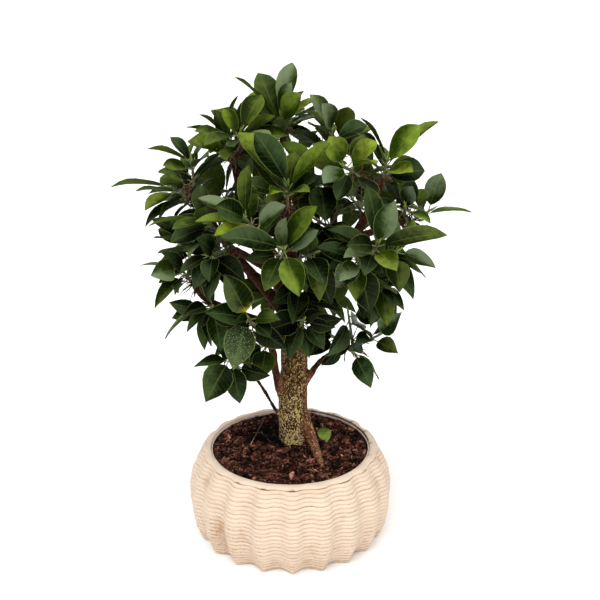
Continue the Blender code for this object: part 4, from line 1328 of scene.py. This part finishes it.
bm = bmesh.new()
for route, sides in routes[:-len(SPRAYS)]:
    pour(tube(rounded(route), TUBE_SIDES), bm)
raw = bpy.data.meshes.new("raw wood")
bm.to_mesh(raw)
bm.free()
holder = bpy.data.objects.new("raw wood", raw)
bpy.context.scene.collection.objects.link(holder)
remesh = holder.modifiers.new("remesh", "REMESH")
remesh.mode = "VOXEL"
remesh.voxel_size = VOXEL * MM
grown = bpy.data.meshes.new_from_object(holder.evaluated_get(bpy.context.evaluated_depsgraph_get()))
bpy.data.objects.remove(holder)
bm = bmesh.new()
bm.from_mesh(grown)
for k in range(SMOOTHING):
    bmesh.ops.smooth_vert(
        bm, verts=bm.verts, factor=0.5, use_axis_x=True, use_axis_y=True, use_axis_z=True)
bm.normal_update()
kind = bm.verts.layers.float_color.new("kind")
trunk_line = [(Vector(p[:3]), p[3]) for p in rounded(TRUNK)]
root_line = [Vector(p[:3]) for p in rounded(SURFACE_ROOT)[3:]]
stem_line = [Vector(p[:3]) for p in rounded(SIDE_STEM)[3:]]
for vert in bm.verts:
    place = vert.co / MM
    lump = noise.fractal(place * 0.085, 0.7, 2.0, 3)
    ridge = noise.noise(Vector((place.x * 0.45, place.y * 0.45, place.z * 0.2)))
    to_root = min((place - p).length for p in root_line)
    to_stem = min((place - p).length for p in stem_line)
    on_root = fade(to_root, *RED_ROOT)
    red = max(
        fade(place.z, *RED_HEIGHTS), on_root, fade(to_stem, *RED_STEM),
        0.75 * fade(place.x, *RED_SIDE))
    off_trunk = min((place - p).length - w for p, w in trunk_line)
    twiggy = fade(off_trunk, *BARE_TWIGS) * (1.0 if to_root > 12.0 else 0.0)
    # painted shade on the limbs in the crown, less near its top, and on the limbs away from the
    # trunk
    high = fade(place.z, *SHADED_HEIGHTS) - 0.55 * fade(place.z, *CLEARER_HEIGHTS)
    spotted = (1.0 - fade(place.z, SPOTS_FROM, SPOTS_TO)) * (1.0 - 0.8 * max(red, twiggy))
    gnarl = noise.fractal(place * 0.30, 0.6, 2.0, 2)
    lump += on_root * (1.5 * gnarl - 1.3)
    vert[kind] = (red, spotted + ROOT_SPOTS * on_root, max(high, twiggy), 1.0)
    rough = 1.0 if place.z < STOUT_BELOW else FINE_BARK
    vert.co += vert.normal * (lump * BARK_LUMPS + ridge * BARK_RIDGES) * rough * MM
trunk = settle(bm, "trunk_and_limbs", [bark_finish], sharp=180)
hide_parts("trunk")
print("trunk and limbs, triangles", corners(trunk.data))

# %% Branchlets and fine twigs
BRANCHLET_SIDES = 7
# redness, spots and painted shade of the branchlets
BRANCHLET_KIND = (0.85, 0.3, 0.8)
STRAY_TWIGS = 6
STRAY_LENGTH = (9, 20)
STRAY_BEND = 1.5
STRAY_RADII = (0.75, 0.6, 0.35)

bm = bmesh.new()
kind = bm.verts.layers.float_color.new("kind")
rng = Random(5)
for route, sides in routes[-len(SPRAYS):]:
    smooth = rounded(route)
    rod(bm, smooth, BRANCHLET_SIDES, kind, BRANCHLET_KIND)
    for number in range(STRAY_TWIGS):
        start = Vector(smooth[rng.randrange(3, len(smooth) - 2)]).xyz
        way = Vector([rng.gauss(0, 1) for k in range(3)]).normalized()
        way = (way + (start - CROWN_HEART).normalized() * 0.8 + UP * 0.2).normalized()
        way *= rng.uniform(*STRAY_LENGTH)
        spots = (start, start + way * 0.5 + jitter(rng, STRAY_BEND), start + way)
        stray = [(*spot, radius) for spot, radius in zip(spots, STRAY_RADII)]
        rod(bm, stray, 4, kind, (0.2, 0.3, 0.35 if number % 2 else 0.0))
branchlets = settle(bm, "branchlets", [bark_finish], sharp=80)
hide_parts("trunk")
print("branchlets, triangles", corners(branchlets.data))

# %% [markdown]
# ## The leaves
#
# A leaf of this fig is thick, glossy and nearly flat, with a pale midrib, fine side
# veins, a thin pale edge and a short pointed tip. Low leaves are egg-shaped and dark, their
# dark partly painted shade; young ones at the top are blunter and yellow-green. Some carry
# a bloom of dried limescale.
#
# One finish serves all of them. What differs from leaf to leaf is stored on the corners
# of its faces: `tint` holds the leaf's colour and whether the face is the upper side, and
# `marks` holds limescale, yellowing, a painted sheen, and which half of the blade is painted lit
# while the other is painted in shade.
# The veins follow the blade's own UV map, across it and along it.

# %% The leaf's finish
SHADED_HALF = (0.24, 0.31, 0.12)
LIT_HALF = (1.72, 1.64, 1.25)
PAINTED_SHEEN = (0.165, 0.215, 0.125)
PALE_VEIN = (0.20, 0.27, 0.07)
PALE_EDGE = (0.17, 0.23, 0.05)
UNDERSIDE = (0.080, 0.12, 0.014)
LIMESCALE = (0.26, 0.32, 0.24)
YELLOWED = (0.43, 0.41, 0.03)
SIDE_VEINS = 9.0
leaf_finish, tree, shader = start_finish("glossy leaf", 0.36, 0.022)
uv = add(tree, "UVMap", {"uv_map": "UVMap"}).outputs[0]
where = add(tree, "TexCoord").outputs["Object"]
across, along = add(tree, "SeparateXYZ", Vector=uv).outputs[:2]
tint, upper = stored(tree, "tint")
marks, lighter_half = stored(tree, "marks")
limescale, yellowing, sheen_share = channels(tree, marks)
side = maths(tree, "ABSOLUTE", times_plus(tree, across, 2.0, -1.0))
midrib = maths(tree, "SUBTRACT", 1.0, ramp(tree, side, 0.02, 0.085))
wave = maths(tree, "SINE", times(tree, times_plus(tree, side, -0.16, along), SIDE_VEINS * 2 * pi))
veins = ramp(tree, wave, 0.86, 1.0)
edge = ramp(tree, side, 0.925, 0.975)
mottle = speckle(tree, where, 0.006)
lime = times(tree, ramp(tree, speckle(tree, where, 0.0009), 0.55, 0.75), limescale)

shade = blend(tree, ramp(tree, mottle, 0.3, 0.7), (0.78, 0.80, 0.80), (1.25, 1.2, 1.15))
colour = blend(tree, 1.0, tint, shade, "MULTIPLY")
# painted light and shade: one half of the blade and its tip side are lighter, the other half and
# its base darker
sideways = times_plus(tree, lighter_half, 4.0, -2.0)
forward = times_plus(tree, mottle, 0.6, along)
slope = times_plus(tree, maths(tree, "SUBTRACT", across, 0.5), sideways, forward)
lit = ramp(tree, slope, 0.40, 1.35)
light = blend(tree, lit, SHADED_HALF, LIT_HALF)
colour = blend(tree, 1.0, colour, light, "MULTIPLY")
# a painted sheen over the lit part of the blade
colour = blend(tree, times(tree, lit, sheen_share, 0.75), colour, PAINTED_SHEEN)
pale = blend(tree, 0.6, colour, PALE_VEIN)
colour = blend(tree, times(tree, veins, 0.10), colour, pale)
colour = blend(tree, times(tree, midrib, 0.30), colour, pale)
colour = blend(tree, times(tree, edge, 0.6), colour, PALE_EDGE)
colour = blend(tree, upper, blend(tree, 0.38, colour, UNDERSIDE), colour)
colour = blend(tree, lime, colour, LIMESCALE)
past_base = ramp(tree, times_plus(tree, mottle, 0.3, along), 0.12, 0.32)
faded = times(tree, maths(tree, "SUBTRACT", 1.0, past_base), yellowing)
colour = blend(tree, faded, colour, YELLOWED)
tree.links.new(colour, shader.inputs["Base Color"])

gloss = times_plus(tree, mottle, 0.16, times_plus(tree, upper, -0.22, 0.42))
tree.links.new(times_plus(tree, lime, 0.3, gloss), shader.inputs["Roughness"])
rise = times_plus(tree, veins, -0.35, times(tree, midrib, -1.0))
rise = times_plus(tree, speckle(tree, where, 0.004, 2.0), 0.9, rise)
relief(tree, shader, rise, 0.0005, 0.5)
print("leaf finish:", len(tree.nodes), "nodes")

# %% The finish of stalks, twigs and buds
stalk_finish, tree, shader = start_finish("green twig", 0.5)
where = add(tree, "TexCoord").outputs["Object"]
grain = ramp(tree, speckle(tree, where, 0.0014), 0.4, 0.65)
shade = blend(tree, grain, (0.7, 0.66, 0.6), (1.2, 1.2, 1.15))
colour = blend(tree, 1.0, stored(tree, "tint")[0], shade, "MULTIPLY")
tree.links.new(colour, shader.inputs["Base Color"])
relief(tree, shader, speckle(tree, where, 0.0008), 0.0003, 0.5)
print("twig finish:", len(tree.nodes), "nodes")

# %% [markdown]
# ### One leaf blade
#
# The blade starts as a flat grid of four by eight cells. Every point is laid along the
# leaf's arched midrib: its row gives the place along the leaf and its column how far it
# lies to the side. The margin rises a little, waves, and the tip droops. A copy turned
# over and pushed down by half a millimetre makes the underside, and the two are merged
# along the margin, so the blade is closed with few faces.

# %% The blade
CELLS_ACROSS, CELLS_ALONG = 4, 8
STATIONS = [0.0, 0.09, 0.22, 0.38, 0.55, 0.70, 0.83, 0.93, 1.0]
EGG_SHAPE = [0.10, 0.62, 0.94, 1.0, 0.87, 0.62, 0.35, 0.14, 0.01]
BLUNT_SHAPE = [0.08, 0.36, 0.67, 0.90, 1.0, 0.94, 0.71, 0.34, 0.03]
LEAF_THICKNESS = 0.55
MIDRIB_FOLD = 0.17
MARGIN_RISE = 0.17
WAVE_HEIGHT = 0.045
WAVE_TURN = 9.0
OTHER_SIDE = 1.6  # by how much the waves of one side lead
TIP_DROOP = 0.03
DROOP_FROM = 0.6
STALK_RADII = (0.7, 0.5)
PALE_STALK = (0.17, 0.24, 0.06)
PLAIN = (0.0, 0.0, 0.0, 0.5)  # limescale, yellowing, painted sheen, and the side that is painted lit


def paint(faces, layers, tint, upper=1.0, marks=PLAIN):
    """Store a leaf's colour and marks on the corners of some faces."""
    for face in faces:
        for loop in face.loops:
            loop[layers[1]] = (*tint, upper)
            loop[layers[2]] = marks


def dress(verts, layers, tint):
    """Give the faces at some points the twig's finish and one colour."""
    faces = faces_of(verts)
    for face in faces:
        face.material_index = 1
    paint(faces, layers, tint)


def blade(bm, layers, line, width, blunt, tint, rng, marks=PLAIN, cupped=1.0):
    """Add one closed leaf blade and its stalk along a midrib line."""
    length = (line[2] - line[0]).length
    neck = min(PETIOLE_LENGTH / length, LONGEST_NECK)
    grid = bmesh.ops.create_grid(
        bm, x_segments=CELLS_ACROSS, y_segments=CELLS_ALONG, size=0.5)["verts"]
    faces = faces_of(grid)
    for loop in [loop for face in faces for loop in face.loops]:
        row = round((loop.vert.co.y + 0.5) * CELLS_ALONG)
        loop[layers[0]].uv = (loop.vert.co.x + 0.5, STATIONS[row])
    phase = rng.uniform(0, 2 * pi)
    waves = rng.uniform(0.4, 1.0) * WAVE_HEIGHT * width
    lows = {}
    for vert in grid:
        column = vert.co.x * 2.0
        row = round((vert.co.y + 0.5) * CELLS_ALONG)
        share = STATIONS[row]
        half = width / 2 * (EGG_SHAPE[row] * (1 - blunt) + BLUNT_SHAPE[row] * blunt)
        point, side, up = leaf_place(line, neck + (1 - neck) * share)
        rise = half * cupped * (MIDRIB_FOLD * abs(column) + MARGIN_RISE * abs(column) ** 1.6)
        turn = phase + share * WAVE_TURN + (OTHER_SIDE if column > 0 else 0.0)
        rise += waves * sin(turn) * abs(column) ** 2
        rise -= TIP_DROOP * length * fade(share, DROOP_FROM, 1.0) ** 2
        vert.co = (point + side * half * column + up * rise) * MM
        thick = LEAF_THICKNESS * (1 - column * column) if 0 < row < CELLS_ALONG else 0.0
        lows[vert] = -up * thick * MM
    paint(faces, layers, tint, 1.0, marks)
    twin = bmesh.ops.duplicate(bm, geom=grid + list({e for f in faces for e in f.edges}) + faces)
    under = [g for g in twin["geom"] if isinstance(g, bmesh.types.BMFace)]
    bmesh.ops.reverse_faces(bm, faces=under)
    for vert, shift in lows.items():
        twin["vert_map"][vert].co += shift
    paint(under, layers, tint, 0.0, (0.0, *marks[1:]))
    low_verts = list({v for f in under for v in f.verts})
    bmesh.ops.remove_doubles(bm, verts=grid + low_verts, dist=1e-7)
    foot, tip = leaf_place(line, 0.0)[0], leaf_place(line, neck + 0.02)[0]
    way = tip - foot
    turned = way.to_track_quat("Z", "Y").to_matrix().to_4x4()
    stalk = bmesh.ops.create_cone(
        bm, cap_ends=True, segments=5, radius1=STALK_RADII[0] * MM, radius2=STALK_RADII[1] * MM,
        depth=way.length * MM, matrix=Matrix.Translation((foot + tip) / 2 * MM) @ turned)
    dress(stalk["verts"], layers, PALE_STALK)


print("blade:", CELLS_ACROSS * CELLS_ALONG, "cells a side, at most", LEAF_THICKNESS, "mm thick")

# %% [markdown]
# ### What each leaf looks like
#
# The colours of the known leaves follow the picture, one letter a leaf in the order of
# the list above: n is new and yellow-green, m mid-green, g green, d dark, k nearly black,
# s silvery with a strong painted sheen, l spotted with limescale and y yellowing at its base.
# The leaves that follow the rule take theirs from where they are: low or deep inside they
# are dark, partly as painted shade, and at the ends of high shoots they are new. In the upper
# crown fine dead fibres hang in the shoots.

# %% Leaf colours
# s is the silvery tint of a painted sheen
TINTS = {
    "n": (0.084, 0.128, 0.007), "g": (0.038, 0.061, 0.004), "m": (0.058, 0.094, 0.005),
    "d": (0.011, 0.0235, 0.0045), "k": (0.004, 0.007, 0.001), "s": (0.050, 0.078, 0.026),
    "l": (0.028, 0.046, 0.014), "y": (0.018, 0.032, 0.004),
}
# how much painted sheen each look gets
SHEEN_BY_LOOK = {"n": 0.16, "m": 0.2, "g": 0.16, "d": 0.20, "k": 0.08, "s": 1.0, "l": 0.3, "y": 0.3}
GLOW_SPAN, WARMTH_SPAN, SHEEN_SPAN = (0.65, 1.25), (0.88, 1.14), (0.5, 1.3)
LOOKS = {
    "crown": "ssngg", "crown_left": "ggd", "crown_front": "dmmnn", "front_left": "gdsmn",
    "front_mid": "dmgg", "left_high": "ggggn", "left_out": "gdg", "left_tip": "ggns",
    "left_mid": "ggd", "right_high": "ssgd", "right_front": "nnng", "right_crown": "snnnd",
    "right_tip": "sgn", "right_under": "snd", "right_mid": "dsgnds", "right_low": "sgdg",
    "mid_right": "glk", "mid_hollow": "gkg", "right_hang": "gdk", "low_right": "sdg",
    "low_right_in": "dg", "trunk_leaf": "dd", "front_low": "kdd", "left_hang": "lygd",
    "left_hang_in": "gd", "left_low": "dddd", "left_side": "ddk", "left_drop": "sd",
    "left_reach": "ssgd", "left_dark": "kdd",
}


def ruled_look(line, age, rng):
    """The letter of a leaf that follows the rule: age is 0 at the twig's end, 1 low on it."""
    share = crown_share(line[2])
    # being low or deep inside the crown darkens a leaf, partly as painted shade; age on its twig
    # darkens it too
    bright = share.length * 0.8 + share.z * 0.45 - age * 0.35 + rng.uniform(-0.2, 0.2)
    for limit, letter in ((1.02, "n"), (0.72, "g"), (0.60, "s"), (0.25, "d")):
        if bright > limit:
            return letter
    return "k"


def shifted(tint, rng):
    """A leaf colour with a little of its own brightness and warmth."""
    glow = rng.uniform(*GLOW_SPAN)
    warmth = rng.uniform(*WARMTH_SPAN)
    return tint[0] * glow * warmth, tint[1] * glow, tint[2] * glow / warmth


print("looks are given for", sum(len(v) for v in LOOKS.values()), "leaves")

# %% Build the shoots
TWIG_TINT = (0.10, 0.095, 0.045)
BUD_TINT = (0.20, 0.29, 0.045)
DRY_TINTS = [(0.20, 0.125, 0.070), (0.13, 0.065, 0.035), (0.30, 0.24, 0.13), (0.10, 0.10, 0.045)]
FIBRES_A_SHOOT = 14
FIBRES_FROM, FIBRES_TO = 265.0, 425.0
FIBRE_LENGTH = (8, 22)
FIBRE_BEND = 2.5
LOOK_SEED = 500
BUD_SECTIONS = [(0.0, 1.15), (0.3, 1.2), (0.7, 0.75), (1.0, 0.12)]  # share of its length, radius


def open_shoot():
    """An empty bmesh with the layers that the leaf finish reads."""
    bm = bmesh.new()
    uv = bm.loops.layers.uv.new("UVMap")
    tint = bm.loops.layers.float_color.new("tint")
    marks = bm.loops.layers.float_color.new("marks")
    return bm, (uv, tint, marks)


def dry_fibres(bm, layers, start, end, rng):
    """Add the fine dead fibres that are caught round a shoot in the upper crown."""
    if not FIBRES_FROM < end.z < FIBRES_TO:
        return
    for number in range(FIBRES_A_SHOOT):
        spot = start.lerp(end, rng.uniform(-0.6, 0.7))
        way = Vector([rng.gauss(0, 1) for k in range(3)]) + Vector((0, 0, -0.5))
        way = way.normalized() * rng.uniform(*FIBRE_LENGTH)
        middle, tip = spot + way / 2 + jitter(rng, FIBRE_BEND), spot + way
        if not in_crown(tip) or tip.z < FIBRES_FROM - 20:
            continue
        strand = rod(bm, [(*spot, 0.34), (*middle, 0.3), (*tip, 0.2)], 3)
        dress(strand, layers, DRY_TINTS[rng.randrange(len(DRY_TINTS))])


total = 0
for order, (name, spray) in enumerate(SPRAYS.items()):
    rng = Random(LOOK_SEED + order)
    bm, layers = open_shoot()
    route, end, direction = twigs[name]
    looks = LOOKS.get(name, "")
    for index, leaf in enumerate(leaves[name]):
        if not leaf:
            continue
        line, width = leaf
        known = index < len(looks)
        letter = looks[index] if known else ruled_look(line, index / len(leaves[name]), rng)
        blunt = fade(line[2].z, 270, 380)
        tint, leaf_sheen = shifted(TINTS[letter], rng), SHEEN_BY_LOOK[letter] * rng.uniform(*SHEEN_SPAN)
        marks = (letter == "l", letter == "y", min(1.0, leaf_sheen), rng.random())
        blade(bm, layers, line, width, blunt, tint, rng, marks)
    dress(rod(bm, route[:2], 6), layers, TWIG_TINT)
    bud = [(*(end + direction * BUD_LENGTH * share), radius) for share, radius in BUD_SECTIONS]
    dress(rod(bm, bud, 6), layers, BUD_TINT)
    dry_fibres(bm, layers, Vector(route[0][:3]), end, rng)
    shoot = settle(bm, "leaves_" + name, [leaf_finish, stalk_finish], sharp=75)
    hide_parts("spray_" + name)
    total += corners(shoot.data)
print("shoots:", len(SPRAYS), "triangles", total)

# %% The fallen leaf
FALLEN_FOOT = (33, 46)
FALLEN_TIP = (36, 10)
FALLEN_WIDTH = 14.4
FALLEN_SLOPE = 0.4
FALLEN_UPSIDE = Vector((-0.1, -0.35, 1.0))
FALLEN_BLUNT = 0.75
FALLEN_CUP = 0.25
FALLEN_TINT = (0.21, 0.31, 0.045)
FALLEN_MARKS = (0.0, 0.0, 0.5, 0.5)
ON_CHIPS = 1.6

foot = Vector((*FALLEN_FOOT, soil_height(*FALLEN_FOOT) + ON_CHIPS + FALLEN_SLOPE))
tip = Vector((*FALLEN_TIP, soil_height(*FALLEN_TIP) + ON_CHIPS))
bm, layers = open_shoot()
blade(
    bm, layers, leaf_line(foot, tip, FALLEN_UPSIDE), FALLEN_WIDTH, FALLEN_BLUNT,
    FALLEN_TINT, Random(9), FALLEN_MARKS, FALLEN_CUP)
fallen = settle(bm, "dropped_leaf", [leaf_finish, stalk_finish], sharp=75)
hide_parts("fallen_leaf")
print("dropped leaf at", [round(c) for c in tip])
